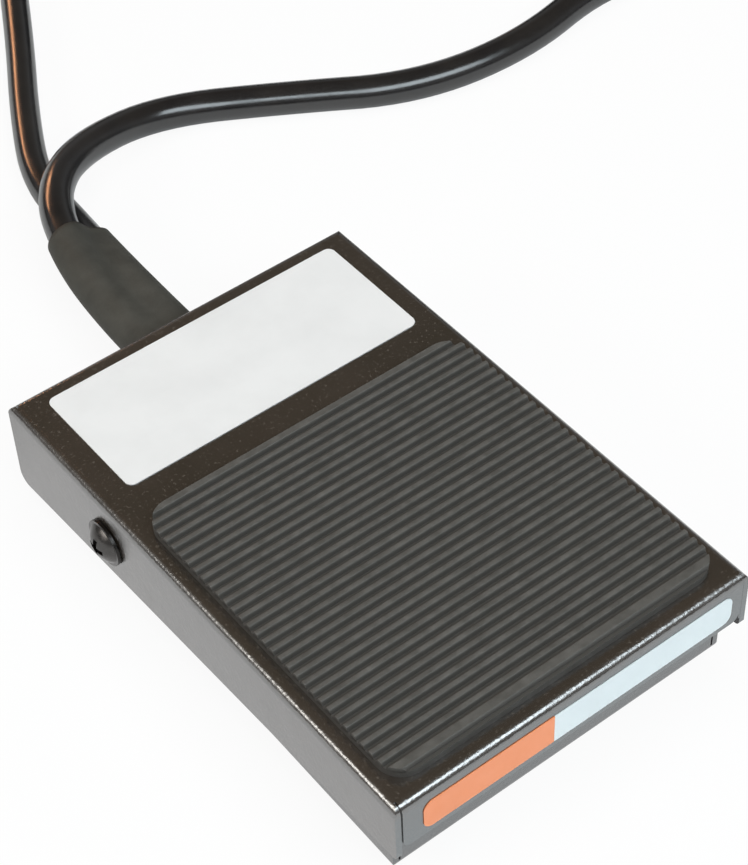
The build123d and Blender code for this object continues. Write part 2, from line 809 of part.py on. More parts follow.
def short_screw(radius, head_radius, head_height, length):
    """Pan-head screw that points down, the underside of its head on z = 0."""
    head = round_top(rod(head_radius, head_height), head_height * 0.5)
    slot = Box(head_radius * 1.2, screw_slot_width, cut_reach, align=BASE)
    slot = Pos(0, 0, head_height - screw_slot_depth) * slot
    shank = Pos(0, 0, -length) * rod(radius, length)
    return head + shank - slot - Rot(0, 0, 90) * slot


def switch_screws():
    """Two long screws through the case and the bracket."""
    start = switch_side_offset - switch_thickness / 2
    length = switch_thickness + bracket_sheet + switch_nut_height + switch_screw_end
    screw = short_screw(switch_screw_radius, switch_screw_head_radius, switch_screw_head_height, length)
    return copies(along_x(screw, -1), [(start, y, z) for y, z in switch_hole_places()])


def switch_nuts():
    x = switch_side_offset + switch_thickness / 2 + bracket_sheet
    nut = hex_nut(switch_nut_flats, switch_nut_height, switch_screw_radius)
    return copies(along_x(nut), [(x, y, z) for y, z in switch_hole_places()])


def bracket_screws():
    length = bracket_sheet + floor_screw_stub
    screw = short_screw(bracket_screw_radius, bracket_screw_head_radius, bracket_screw_head_height, length)
    return copies(screw, [(x, y, pan_floor + bracket_sheet) for x, y in bracket_screw_places()])


# Cord clamp and earth

def clamp_y():
    return pan_rear - clamp_from_rear


def clamp_screw_places():
    x = sleeve_width() / 2 + clamp_sheet + clamp_foot / 2
    return [(side * x, clamp_y()) for side in (-1, 1)]


def floor_screw_places():
    """All small screws that pass through the pan's floor."""
    return bracket_screw_places() + clamp_screw_places() + [earth_place()]


def cord_clamp():
    """Steel strap over the sleeve with a foot on each side."""
    low = sleeve_height - pan_floor
    width = sleeve_width() + 2 * clamp_sheet
    arch = sleeve_outline(clamp_sheet) & Pos(0, cut_reach / 2) * Rectangle(cut_reach, cut_reach)
    skirt = Pos(0, -low / 2) * Rectangle(width, low)
    feet = Pos(0, clamp_sheet / 2 - low) * Rectangle(width + 2 * clamp_foot, clamp_sheet)
    below = Pos(0, -low / 2) * Rectangle(sleeve_width(), low)
    section = arch + skirt + feet - sleeve_outline(0.0) - below
    strap = extrude(Plane.XZ * section, amount=clamp_width / 2, both=True)
    strap = Pos(0, clamp_y(), sleeve_height) * strap
    for x, y in clamp_screw_places():
        strap -= Pos(x, y, 0) * rod(clamp_screw_radius + fit_clearance, cut_reach)
    return strap


def clamp_pad():
    """Rubber pad between the sleeve and the pan's floor."""
    low = sleeve_height - pan_floor
    rise = clamp_pad_rise + low - sleeve_thickness() / 2
    block = Pos(0, rise / 2 - low) * Rectangle(sleeve_width() - 2 * clamp_pad_side_gap, rise)
    pad = extrude(Plane.XZ * (block - sleeve_outline(0.0)), amount=clamp_width / 2, both=True)
    return Pos(0, clamp_y(), sleeve_height) * pad


def clamp_screws():
    length = clamp_sheet + floor_screw_stub
    screw = short_screw(clamp_screw_radius, clamp_screw_head_radius, clamp_screw_head_height, length)
    return copies(screw, [(x, y, pan_floor + clamp_sheet) for x, y in clamp_screw_places()])


def earth_place():
    return earth_screw_x, jacket_end_y() - earth_screw_ahead


def lug_barrel_radius():
    return wire_radius + earth_barrel_wall


def earth_lug():
    """Ring lug, flat on z = 0, with a crimp barrel along +X."""
    ring = rod(earth_lug_radius, earth_lug_thickness)
    tongue = Box(earth_lug_tail, earth_tongue_width, earth_lug_thickness, align=BASE)
    barrel = along_x(rod(lug_barrel_radius(), earth_barrel_length))
    barrel = Pos(earth_lug_tail - earth_barrel_lap, 0, lug_barrel_radius()) * barrel
    lug = ring + Pos(earth_lug_tail / 2, 0, 0) * tongue + barrel
    return lug - rod(earth_screw_radius + fit_clearance, cut_reach)


def earth_lugs():
    """Two ring lugs stacked under one screw, their barrels spread apart."""
    lugs = []
    for index, turn in enumerate(earth_lug_turns):
        place = Pos(*earth_place(), pan_floor + index * earth_lug_thickness)
        lugs.append(place * Rot(0, 0, turn) * earth_lug())
    return Compound(children=lugs)


def lug_mouth(index):
    """Where a wire enters a lug's barrel, and the direction that the barrel's mouth faces."""
    reach = earth_lug_tail - earth_barrel_lap + earth_barrel_length
    turn = math.radians(earth_lug_turns[index])
    facing = (math.cos(turn), math.sin(turn))
    x = earth_place()[0] + reach * facing[0]
    y = earth_place()[1] + reach * facing[1]
    return (x, y, pan_floor + index * earth_lug_thickness + lug_barrel_radius()), facing


def earth_screw():
    stack = 2 * earth_lug_thickness
    screw = short_screw(earth_screw_radius, earth_head_radius, earth_head_height, stack + pan_sheet)
    return Pos(*earth_place(), pan_floor + stack) * screw


# Cords

def arc_radii(points):
    """Largest arc at each corner that leaves a tenth of the shorter run straight."""
    radii = []
    for before, corner, after in zip(points, points[1:], points[2:]):
        incoming = Vector(*corner) - Vector(*before)
        outgoing = Vector(*after) - Vector(*corner)
        turn = math.radians(incoming.get_angle(outgoing))
        radii.append(0.45 * min(incoming.length, outgoing.length) / math.tan(turn / 2))
    return radii


def cord_tube(name, points, diameter):
    """Round cord along straight runs joined by tangent arcs."""
    radii = arc_radii(points)
    path = FilletPolyline(*points, radius=radii)
    tube = sweep(Plane(origin=path @ 0, z_dir=path % 0) * Circle(diameter / 2), path=path)
    section = math.pi * diameter**2 / 4
    ratio = tube.volume / section / path.length
    print(name, "length", round(path.length, 1), "volume ratio", round(ratio, 4))
    print(name, "radii", [round(radius, 1) for radius in radii])
    return tube


def straight_tube(start, end, diameter):
    """Round cord from one point straight to another."""
    along = Vector(*end) - Vector(*start)
    return extrude(Plane(origin=start, z_dir=along) * Circle(diameter / 2), along.length)


def coil_ring(centre, mid_radius, diameter):
    """One closed ring of the outer shape of all turns."""
    width = coil_columns * diameter
    height = coil_rows * diameter
    section = Pos(mid_radius, height / 2) * RectangleRounded(width, height, diameter * 0.45)
    ring = revolve(Plane.XZ * section, Axis.Z)
    return Pos(centre[0], centre[1], 0) * ring


def jacket_end_y():
    return pan_rear - sleeve_inner_end_from_rear - jacket_strip


def coil_slot(column, row, mid_radius, diameter):
    """Radius and height of one lane of a coil, column 0 being the outermost and row 0 the lowest."""
    radius = mid_radius + ((coil_columns - 1) / 2 - column) * diameter
    return radius, (row + 0.5) * diameter


def coil_point(centre, radius, angle, height):
    turn = math.radians(angle)
    return (centre[0] + radius * math.cos(turn), centre[1] + radius * math.sin(turn), height)


def jacket_places():
    """X of the supply cord's middle and of the load cord's, side by side in the sleeve."""
    reach = (supply_cord_diameter + cord_pair_gap + load_cord_diameter) / 2
    return supply_cord_diameter / 2 - reach, reach - load_cord_diameter / 2


def straight_start(x):
    """First two points of a cord: at its jacket's end in the pan, and level with the rear wall."""
    return [(x, jacket_end_y(), sleeve_height), (x, pan_rear, sleeve_height)]


def supply_points():
    """Route of the supply cord from its jacket's end in the pan to the coil's outer lane."""
    radius, height = coil_slot(0, 0, supply_coil_mid_radius, supply_cord_diameter)
    entry = coil_point(supply_coil_centre, radius, supply_coil_entry, height)
    return straight_start(jacket_places()[0]) + supply_route + [entry]


def load_points():
    """Route of the load cord from its jacket's end in the pan to the coil's outer lane."""
    radius, height = coil_slot(0, 0, load_coil_mid_radius, load_cord_diameter)
    entry = coil_point(load_coil_centre, radius, load_coil_entry, height)
    return straight_start(jacket_places()[1]) + load_route + [entry]


def sleeve_section(supply_centre, load_centre, forward):
    """Flat oval face round both cords at one station of the sleeve."""
    across = Vector(*load_centre) - Vector(*supply_centre)
    lean = (supply_cord_diameter - load_cord_diameter) / 4
    middle = (Vector(*supply_centre) + Vector(*load_centre)) / 2 - across.normalized() * lean
    both_radii = (supply_cord_diameter + load_cord_diameter) / 2
    width = max(sleeve_width(), across.length + both_radii + 2 * sleeve_wall)
    plane = Plane(origin=middle, x_dir=across, z_dir=Vector(*forward))
    return plane * SlotOverall(width, sleeve_thickness())


def shrink_sleeve(supply_tube, load_tube):
    """Shrunk tube over both cords: straight through the grommet, then twisting towards its end."""
    start_y = pan_rear - sleeve_inner_end_from_rear
    bend_y = pan_rear + sleeve_prism_past_rear
    straight = extrude(Plane.XZ * sleeve_outline(0.0), amount=start_y - bend_y)
    straight = Pos(0, start_y, sleeve_height) * straight
    bend = Plane(origin=(0, bend_y, sleeve_height), x_dir=(1, 0, 0), z_dir=(0, 1, 0))
    free_sections = [sleeve_section(*sleeve_middle_section), sleeve_section(*sleeve_end_section)]
    tail = loft([bend * sleeve_outline(0.0)] + free_sections)
    return straight + tail - supply_tube - load_tube


# Plug and connector

def strain_relief(cord_radius):
    """Tapered relief along +Z, its thin end on z = 0, hollow for the cord and ringed with grooves."""
    tip = cord_radius + relief_tip_wall
    relief = Cone(tip, relief_root_radius, relief_length, align=BASE) - rod(cord_radius, relief_length)
    for index in range(relief_groove_count):
        height = relief_groove_start + index * relief_groove_pitch
        radius = tip + (relief_root_radius - tip) * height / relief_length - relief_groove_depth
        ring = rod(cut_reach, relief_groove_width) - rod(radius, relief_groove_width)
        relief -= Pos(0, 0, height) * ring
    return relief


def supply_plug():
    """Round plug along +Z: waisted grip, full body and a slightly smaller nose with two thumb slots."""
    nose_start = plug_length - plug_nose_length
    waist = (plug_waist_radius, plug_waist_from_end)
    shoulder = (plug_radius, plug_shoulder_from_end)
    profile = Polyline(
        (0, 0),
        (plug_grip_radius, 0),
        waist,
        shoulder,
        (plug_radius, nose_start),
        (plug_nose_radius, nose_start),
        (plug_nose_radius, plug_length),
        (0, plug_length),
        close=True,
    )
    face = make_face(profile)
    rounds = [
        ((plug_grip_radius, 0), plug_end_round),
        (waist, plug_body_round),
        (shoulder, plug_body_round),
        ((plug_radius, nose_start), plug_nose_round),
    ]
    for corner, radius in rounds:
        face = fillet(face.vertices().sort_by_distance(corner)[0], radius)
    body = revolve(Plane.XZ * face, Axis.Z)
    width, depth, length = plug_thumb_slot
    slot = Box(width, depth, length, align=BASE)
    for side in (-1, 1):
        body -= Pos(0, side * plug_nose_radius, plug_length - length) * slot
    return body


def plug_pins():
    """Two round pins with rounded ends."""
    pin = round_top(rod(plug_pin_radius, plug_pin_length), plug_pin_end_round)
    return copies(pin, [(side * plug_pin_spacing / 2, 0, plug_length) for side in (-1, 1)])


def load_connector():
    """Appliance connector along +Z: rounded grip, then a nose with two cut corners and three slots."""
    grip_face = RectangleRounded(connector_grip_width, connector_grip_height, connector_grip_corner_radius)
    grip = extrude(grip_face, connector_grip_length)
    grip = fillet(grip.faces().sort_by(Axis.Z)[0].edges(), connector_grip_corner_radius * 0.6)
    nose_face = Rectangle(connector_nose_width, connector_nose_height)
    nose_face = chamfer(nose_face.vertices().sort_by(Axis.Y)[-2:], connector_nose_chamfer)
    nose = Pos(0, 0, connector_grip_length) * extrude(nose_face, connector_nose_length)
    end = connector_grip_length + connector_nose_length - connector_slot_depth
    slot = Box(connector_slot_height, connector_slot_width, cut_reach, align=BASE)
    body = grip + nose
    for column, rise in ((-1, -connector_slot_rise), (0, connector_slot_rise), (1, -connector_slot_rise)):
        body -= Pos(column * connector_slot_pitch, rise, end) * slot
    return body


def plug_tail_points():
    """Supply cord from the coil's upper outer lane, up to the height of the plug's middle."""
    radius, height = coil_slot(0, 1, supply_coil_mid_radius, supply_cord_diameter)
    x, y, _ = coil_point(supply_coil_centre, radius, supply_coil_exit, height)
    first = y + plug_tail_run
    second = first + plug_tail_rise_run
    end = second + plug_tail_end_run
    return [(x, y, height), (x, first, height), (x, second, plug_radius), (x, end, plug_radius)]


def connector_tail_points():
    """Load cord from the coil's upper outer lane straight to the connector."""
    radius, height = coil_slot(0, 1, load_coil_mid_radius, load_cord_diameter)
    x, y, _ = coil_point(load_coil_centre, radius, load_coil_exit, height)
    return [(x, y, height), (x + connector_tail_run, y, connector_grip_height / 2)]


# Inner wires

def core_start(cord_x, turn, run):
    """A core's first two points: at its jacket's end, beside the cord's middle, and straight on."""
    angle = math.radians(turn)
    x = cord_x + wire_ring * math.cos(angle)
    z = sleeve_height + wire_ring * math.sin(angle)
    return [(x, jacket_end_y(), z), (x, jacket_end_y() - run, z)]


def crimp_mouth(index):
    """Where a wire enters the crimp on one of the switch's blades."""
    x = switch_side_offset - switch_thickness / 2 - blade_length - crimp_root_gap - crimp_barrel_length
    return (x, blade_places()[index], switch_base() + blade_height)


def crimp_terminals():
    """Push-on receptacles on the first and the last blade."""
    left_middle = (Align.MIN, Align.CENTER, Align.CENTER)
    block = Box(crimp_block_length, crimp_block_width, crimp_block_height, align=left_middle)
    block = fillet(block.edges().filter_by(Axis.X), crimp_block_radius)
    slot_width = blade_width + fit_clearance
    slot_height = blade_thickness + fit_clearance
    slot = Box(crimp_block_length, slot_width, slot_height, align=left_middle)
    block -= Pos(crimp_root_gap - fit_clearance, 0, 0) * slot
    barrel = along_x(rod(crimp_barrel_radius, crimp_barrel_length))
    crimp = Pos(crimp_barrel_length, 0, 0) * block + barrel
    return copies(crimp, [crimp_mouth(index) for index in (0, blade_count - 1)])


def splice_cap():
    """Closed-end cap that joins the two neutral cores."""
    cap = round_top(rod(splice_cap_radius, splice_cap_length), splice_cap_radius / 2)
    return Pos(splice_cap_x, splice_mouth_y(), splice_height()) * Rot(90, 0, 0) * cap


def splice_mouth_y():
    return jacket_end_y() - splice_cap_ahead


def splice_height():
    return pan_floor + splice_cap_radius + splice_cap_floor_gap


def before_lug(index):
    """Where the last run of a wire begins, straight in front of its lug's mouth."""
    mouth, facing = lug_mouth(index)
    run = earth_lug_runs[index]
    return (mouth[0] + run * facing[0], mouth[1] + run * facing[1], mouth[2])


def ahead(x, distance, z):
    """A point at a distance ahead of the jackets' ends."""
    return x, jacket_end_y() - distance, z


def inner_wires():
    """Route points of the six cores, from their jackets to what each one ends in."""
    supply_x, load_x = jacket_places()
    level = splice_height()
    left = splice_cap_x - splice_wire_spacing / 2
    right = splice_cap_x + splice_wire_spacing / 2
    common = crimp_mouth(0)
    output = crimp_mouth(blade_count - 1)
    mouth_y = splice_mouth_y()
    return {
        "line_wire_in": core_start(supply_x, *line_in_start)
        + [ahead(*line_in_bend), (line_in_bend[0], common[1], common[2]), common],
        "line_wire_out": core_start(load_x, *line_out_start)
        + [ahead(*line_out_rise), ahead(*line_out_bend), (line_out_bend[0], output[1], output[2]), output],
        "neutral_wire_in": core_start(supply_x, *neutral_in_start)
        + [ahead(*neutral_in_bend, level), ahead(left, neutral_in_end_ahead, level), (left, mouth_y, level)],
        "neutral_wire_out": core_start(load_x, *neutral_out_start)
        + [ahead(*neutral_out_dip), ahead(right, neutral_out_end_ahead, level), (right, mouth_y, level)],
        "earth_wire_in": core_start(supply_x, *earth_in_start) + [before_lug(0), lug_mouth(0)[0]],
        "earth_wire_out": core_start(load_x, *earth_out_start)
        + [ahead(*earth_out_bend), before_lug(1), lug_mouth(1)[0]],
    }


strip_split = front_strip_split - half_width
for node, shape in {
    "treadle_cover": treadle_cover(),
    "tread_mat": tread_mat(),
    "rating_plate": rating_plate(),
    "front_strip_left": front_strip(front_strip_left_margin - half_width, strip_split, -1),
    "front_strip_right": front_strip(strip_split, half_width - front_strip_right_margin, 1),
    "striker": striker(),
    "spring_cup": spring_cup(),
}.items():
    parts[node] = on_rest_tilt * shape

parts["base_pan"] = base_pan()
for (x, y), place in zip(foot_places(), ("front_left", "front_right", "rear_left", "rear_right")):
    parts["foot_" + place] = Pos(x, y, 0) * rubber_foot()
add_hinge(-1, "left")
add_hinge(1, "right")
parts["spring_peg"] = spring_peg()
parts["return_spring"] = return_spring()
parts["switch_case"] = switch_case()
parts["switch_cover"] = switch_cover()
parts["switch_plunger"] = switch_plunger()
parts["switch_lever"] = switch_lever()
parts["lever_pin"] = lever_pin()
parts["switch_terminals"] = switch_terminals()
parts["switch_bracket"] = switch_bracket()
parts["switch_screws"] = switch_screws()
parts["switch_nuts"] = switch_nuts()
parts["bracket_screws"] = bracket_screws()
parts["cord_grommet"] = cord_grommet()
parts["cord_clamp"] = cord_clamp()
parts["clamp_pad"] = clamp_pad()
parts["clamp_screws"] = clamp_screws()
parts["earth_lugs"] = earth_lugs()
parts["earth_screw"] = earth_screw()
parts["crimp_terminals"] = crimp_terminals()
parts["splice_cap"] = splice_cap()
for node, points in inner_wires().items():
    parts[node] = cord_tube(node, points, 2 * wire_radius)

parts["supply_cord"] = cord_tube("supply_cord", supply_points(), supply_cord_diameter)
parts["load_cord"] = cord_tube("load_cord", load_points(), load_cord_diameter)
parts["shrink_sleeve"] = shrink_sleeve(parts["supply_cord"], parts["load_cord"])
parts["supply_coil"] = coil_ring(supply_coil_centre, supply_coil_mid_radius, supply_cord_diameter)
parts["load_coil"] = coil_ring(load_coil_centre, load_coil_mid_radius, load_cord_diameter)
parts["supply_cord_tail"] = cord_tube("supply_cord_tail", plug_tail_points(), supply_cord_diameter)
tail_end = connector_tail_points()
parts["load_cord_tail"] = straight_tube(tail_end[0], tail_end[1], load_cord_diameter)
at_plug = Pos(*plug_tail_points()[-1]) * Rot(-90, 0, 0)
before_end = Pos(0, 0, -relief_length)
parts["supply_plug_relief"] = at_plug * before_end * strain_relief(supply_cord_diameter / 2)
parts["supply_plug"] = at_plug * supply_plug()
parts["supply_plug_pins"] = at_plug * plug_pins()
at_connector = Pos(*tail_end[1]) * Rot(0, 90, 0) * Rot(0, 0, 90)
parts["load_connector_relief"] = at_connector * before_end * strain_relief(load_cord_diameter / 2)
parts["load_connector"] = at_connector * load_connector()

os.makedirs("parts", exist_ok=True)
for node, shape in parts.items():
    export_step(shape, "parts/" + node + ".step")
print(len(parts), "nodes")
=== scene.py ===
"""Looks of the foot switch: camera, leads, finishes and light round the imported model, in metres."""
import json
import math

import bmesh
import bpy
from mathutils import Matrix, Vector

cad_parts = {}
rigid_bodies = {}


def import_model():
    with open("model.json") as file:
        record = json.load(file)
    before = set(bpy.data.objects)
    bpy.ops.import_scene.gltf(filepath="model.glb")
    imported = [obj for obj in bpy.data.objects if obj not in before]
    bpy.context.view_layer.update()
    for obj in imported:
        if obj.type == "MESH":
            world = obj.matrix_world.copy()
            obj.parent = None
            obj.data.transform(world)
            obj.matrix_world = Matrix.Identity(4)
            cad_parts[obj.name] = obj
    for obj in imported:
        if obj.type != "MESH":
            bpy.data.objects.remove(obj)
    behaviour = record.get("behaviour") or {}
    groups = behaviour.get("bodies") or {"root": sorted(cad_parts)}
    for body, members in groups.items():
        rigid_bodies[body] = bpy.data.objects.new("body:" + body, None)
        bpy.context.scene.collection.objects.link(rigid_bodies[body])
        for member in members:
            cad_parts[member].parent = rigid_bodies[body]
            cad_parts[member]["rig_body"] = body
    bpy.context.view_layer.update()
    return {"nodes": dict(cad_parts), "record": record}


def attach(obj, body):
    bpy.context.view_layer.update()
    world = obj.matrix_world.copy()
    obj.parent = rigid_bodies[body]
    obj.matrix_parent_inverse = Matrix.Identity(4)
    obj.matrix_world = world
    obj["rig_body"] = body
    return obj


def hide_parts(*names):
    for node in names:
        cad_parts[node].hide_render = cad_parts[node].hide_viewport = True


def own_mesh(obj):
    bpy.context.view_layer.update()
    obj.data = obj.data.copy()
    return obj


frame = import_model()
scene = bpy.context.scene
scene.view_settings.view_transform = "Standard"
MM = 0.001

# Camera that took the photograph
PHOTO_HEIGHT = 865
FOCAL_LENGTH_PIXELS = 2306.8
SENSOR_MM = 36.0
CAMERA_PLACE = (-0.15872, -0.21807, 0.33167)
CAMERA_TURN = (42.648, 1.355, -37.965)

# Hinge line of the treadle and the tilt at which the treadle rests
HINGE_PLACE = (0.0, 0.0261, 0.01475)
REST_TILT = -0.75

# Leads, in millimetres: routes from inside the pan to the coils
SUPPLY_DIAMETER = 7.4
LOAD_DIAMETER = 6.6
SUPPLY_ROUTE = [
    (-3.35, 30.7, 11.6),
    (-3.35, 54.7, 11.6),
    (-3.0, 78.0, 11.5),
    (-0.8, 96.5, 11.5),
    (5.4, 114.7, 11.9),
    (18.7, 126.3, 9.6),
    (43.4, 132.2, 3.7),
    (68.8, 117.3, 3.7),
    (93.0, 101.6, 3.7),
    (121.4, 98.0, 3.7),
    (150.0, 104.5, 3.7),
    (171.5, 98.45, 3.7),
]
LOAD_ROUTE = [
    (3.75, 30.7, 11.6),
    (3.75, 54.7, 11.6),
    (4.3, 78.0, 10.8),
    (6.5, 98.7, 7.6),
    (8.8, 113.1, 4.4),
    (10.1, 129.8, 3.3),
    (20.1, 150.4, 3.3),
    (32.8, 172.6, 3.3),
    (46.6, 198.8, 3.3),
    (57.9, 218.6, 3.3),
]

# Coils of the stored length: a turn's lanes in order, as column from outside and row from below
COIL_LANES = [(0, 0), (1, 0), (2, 0), (2, 1), (1, 1), (0, 1)]
COIL_COLUMNS = 3
LANE_CHANGE = 30.0
COIL_STEP = 22.5
SUPPLY_COIL = {
    "centre": (193.0, 142.85),
    "mid": 37.0,
    "diameter": SUPPLY_DIAMETER,
    "way": 1,
    "entry": 270.0,
    "arc": 90.0,
}
LOAD_COIL = {
    "centre": (108.0, 210.2),
    "mid": 39.5,
    "diameter": LOAD_DIAMETER,
    "way": -1,
    "entry": 145.1,
    "arc": 55.1,
}
PLUG_HEIGHT = 18.5
SUPPLY_TAIL = [(17.5, 11.1), (34.5, PLUG_HEIGHT), (68.5, PLUG_HEIGHT)]
LOAD_TAIL_RUN = 54.0

# Tread mat, in the treadle's own frame with its origin on the hinge line
MAT_WIDTH = 0.0705
MAT_FRONT = -0.08
MAT_BOTTOM = 0.0099
MAT_THICKNESS = 0.0024
MAT_CORNER = 0.005
MAT_GROOVES = 31
MAT_PITCH = 0.00222
MAT_GROOVE_TOP = 0.0012
MAT_GROOVE_FLOOR = 0.0007
MAT_GROOVE_DEPTH = 0.0009
MAT_FRONT_RIB = 0.00267
MAT_FRONT_TOP = 0.0018
MAT_REAR_RIB = 0.00135
MAT_LENGTH = MAT_FRONT_RIB + (MAT_GROOVES - 1) * MAT_PITCH + MAT_GROOVE_TOP + MAT_REAR_RIB


def photo_camera():
    data = bpy.data.cameras.new("photo_camera")
    data.sensor_width = SENSOR_MM
    data.lens = SENSOR_MM * FOCAL_LENGTH_PIXELS / PHOTO_HEIGHT
    data.clip_start = 0.01
    camera = bpy.data.objects.new("photo_camera", data)
    camera.location = CAMERA_PLACE
    camera.rotation_euler = [math.radians(angle) for angle in CAMERA_TURN]
    scene.collection.objects.link(camera)
    scene.camera = camera


class Finish:
    """A material whose nodes read Object coordinates."""

    def __init__(self, name, colour, roughness, ior=1.5, metallic=0.0):
        self.material = bpy.data.materials.new(name)
        self.material.use_nodes = True
        self.tree = self.material.node_tree
        self.shader = self.tree.nodes["Principled BSDF"]
        self.shader.inputs["Base Color"].default_value = (*colour, 1.0)
        self.shader.inputs["Roughness"].default_value = roughness
        self.shader.inputs["IOR"].default_value = ior
        self.shader.inputs["Metallic"].default_value = metallic
        self.place = self.node("ShaderNodeTexCoord").outputs["Object"]

    def node(self, kind, **settings):
        made = self.tree.nodes.new(kind)
        for key, value in settings.items():
            setattr(made, key, value)
        return made

    def join(self, source, target):
        self.tree.links.new(source, target)

    def stretched(self, scale):
        mapping = self.node("ShaderNodeMapping")
        mapping.inputs["Scale"].default_value = scale
        self.join(self.place, mapping.inputs["Vector"])
        return mapping.outputs["Vector"]

    def noise(self, size, detail=3.0, roughness=0.55, stretch=None):
        """Noise whose blotches are about the given size in metres."""
        texture = self.node("ShaderNodeTexNoise")
        texture.inputs["Scale"].default_value = 1.0 / size
        texture.inputs["Detail"].default_value = detail
        texture.inputs["Roughness"].default_value = roughness
        source = self.stretched(stretch) if stretch else self.place
        self.join(source, texture.inputs["Vector"])
        return texture.outputs["Fac"]

    def patches(self, size):
        """Soft uneven patches, from 0 to 1."""
        return self.spread(self.noise(size, 5.0, 0.65), 0.35, 0.75, 0.0, 1.0)

    def spread(self, value, low, high, to_low, to_high):
        ranged = self.node("ShaderNodeMapRange")
        for key, number in zip(("From Min", "From Max", "To Min", "To Max"), (low, high, to_low, to_high)):
            ranged.inputs[key].default_value = number
        self.join(value, ranged.inputs["Value"])
        return ranged.outputs["Result"]

    def mixed(self, factor, first, second):
        """Colour between two, each a colour or another node's output."""
        mix = self.node("ShaderNodeMix", data_type="RGBA")
        self.join(factor, mix.inputs["Factor"])
        for key, colour in (("A", first), ("B", second)):
            socket = [s for s in mix.inputs if s.name == key and s.type == "RGBA"][0]
            if isinstance(colour, tuple):
                socket.default_value = (*colour, 1.0)
            else:
                self.join(colour, socket)
        return [s for s in mix.outputs if s.type == "RGBA"][0]

    def colour(self, source):
        self.join(source, self.shader.inputs["Base Color"])

    def rough(self, source):
        self.join(source, self.shader.inputs["Roughness"])

    def bump(self, height, depth, strength=1.0):
        """Relief of the given depth in metres, added to any relief already there."""
        bump = self.node("ShaderNodeBump")
        bump.inputs["Distance"].default_value = depth
        bump.inputs["Strength"].default_value = strength
        self.join(height, bump.inputs["Height"])
        normal = self.shader.inputs["Normal"]
        if normal.links:
            self.join(normal.links[0].from_socket, bump.inputs["Normal"])
        self.join(bump.outputs["Normal"], normal)


def textured_paint(name, dark, light, speck, ior):
    """Semi-gloss powder paint: fine grain with scattered lighter specks."""
    paint = Finish(name, dark, 0.28, ior)
    tone = paint.mixed(paint.spread(paint.noise(0.03, 4.0), 0.35, 0.65, 0.0, 1.0), dark, light)
    specks = paint.spread(paint.noise(0.0006, 2.0), 0.62, 0.72, 0.0, 1.0)
    paint.colour(paint.mixed(specks, tone, speck))
    paint.rough(paint.spread(paint.noise(0.004, 3.0), 0.3, 0.7, 0.19, 0.26))
    paint.bump(paint.noise(0.0009, 3.0, 0.6), 0.00006)
    paint.bump(paint.noise(0.005, 2.0), 0.00004, 0.6)
    return paint.material


def mat_rubber():
    """Matt rubber, scuffed in patches on its rib tops, with painted shade darkening it down in its grooves.
    """
    rubber = Finish("mat_rubber", (0.09, 0.088, 0.084), 0.5)
    mapping = rubber.node("ShaderNodeMapping", vector_type="TEXTURE")
    mapping.inputs["Location"].default_value = HINGE_PLACE
    mapping.inputs["Rotation"].default_value = (math.radians(REST_TILT), 0.0, 0.0)
    rubber.join(rubber.place, mapping.inputs["Vector"])
    split = rubber.node("ShaderNodeSeparateXYZ")
    rubber.join(mapping.outputs["Vector"], split.inputs[0])
    rib_top = MAT_BOTTOM + MAT_THICKNESS
    # Painted shade: by height, the colour goes from the rib tops' colour down to a darker groove colour,
    # standing in for the shade in the grooves.
    groove_shade_fade = rubber.spread(split.outputs["Z"], rib_top - 0.5 * MAT_GROOVE_DEPTH, rib_top, 0.0, 1.0)
    tops = rubber.mixed(rubber.patches(0.003), (0.074, 0.071, 0.064), (0.120, 0.115, 0.105))
    rubber.colour(rubber.mixed(groove_shade_fade, (0.060, 0.056, 0.050), tops))
    rubber.rough(rubber.spread(rubber.noise(0.003, 4.0), 0.3, 0.7, 0.48, 0.66))
    rubber.bump(rubber.noise(0.0004, 3.0), 0.00003)
    return rubber.material


def black_rubber(name, colour):
    rubber = Finish(name, colour, 0.7)
    lighter = tuple(min(1.0, channel * 1.7) for channel in colour)
    rubber.colour(rubber.mixed(rubber.patches(0.006), colour, lighter))
    rubber.rough(rubber.spread(rubber.noise(0.002), 0.3, 0.7, 0.6, 0.8))
    rubber.bump(rubber.noise(0.0005), 0.00003)
    return rubber.material


def film(name, colour):
    """Printed film without print: satin, faintly uneven."""
    plain = Finish(name, colour, 0.38)
    shade = tuple(channel * 0.95 for channel in colour)
    cloud = plain.spread(plain.noise(0.012, 4.0), 0.4, 0.7, 0.0, 1.0)
    plain.colour(plain.mixed(cloud, colour, shade))
    plain.rough(plain.spread(plain.noise(0.003), 0.3, 0.7, 0.33, 0.45))
    plain.bump(plain.noise(0.006, 2.0), 0.00004, 0.5)
    return plain.material


def metal(name, colour, roughness, grain=(1.0, 1.0, 1.0)):
    """Plated or bare metal with fine brushed grain."""
    plate = Finish(name, colour, roughness, metallic=1.0)
    darker = tuple(channel * 0.72 for channel in colour)
    tarnish = plate.spread(plate.noise(0.004, 4.0), 0.35, 0.7, 0.0, 1.0)
    plate.colour(plate.mixed(tarnish, colour, darker))
    brushed = plate.noise(0.001, 4.0, 0.6, grain)
    plate.rough(plate.spread(brushed, 0.3, 0.7, roughness * 0.8, roughness * 1.3))
    plate.bump(plate.noise(0.0004, 3.0, 0.6, grain), 0.00001)
    return plate.material


def moulded(name, colour, roughness, relief=0.00002):
    """Moulded plastic with a fine spark-eroded surface."""
    plastic = Finish(name, colour, roughness)
    lighter = tuple(min(1.0, channel * 1.25 + 0.002) for channel in colour)
    flow = plastic.spread(plastic.noise(0.008, 4.0), 0.35, 0.7, 0.0, 1.0)
    plastic.colour(plastic.mixed(flow, colour, lighter))
    plastic.rough(plastic.spread(plastic.noise(0.002), 0.3, 0.7, roughness * 0.85, roughness * 1.15))
    plastic.bump(plastic.noise(0.0004), relief)
    return plastic.material


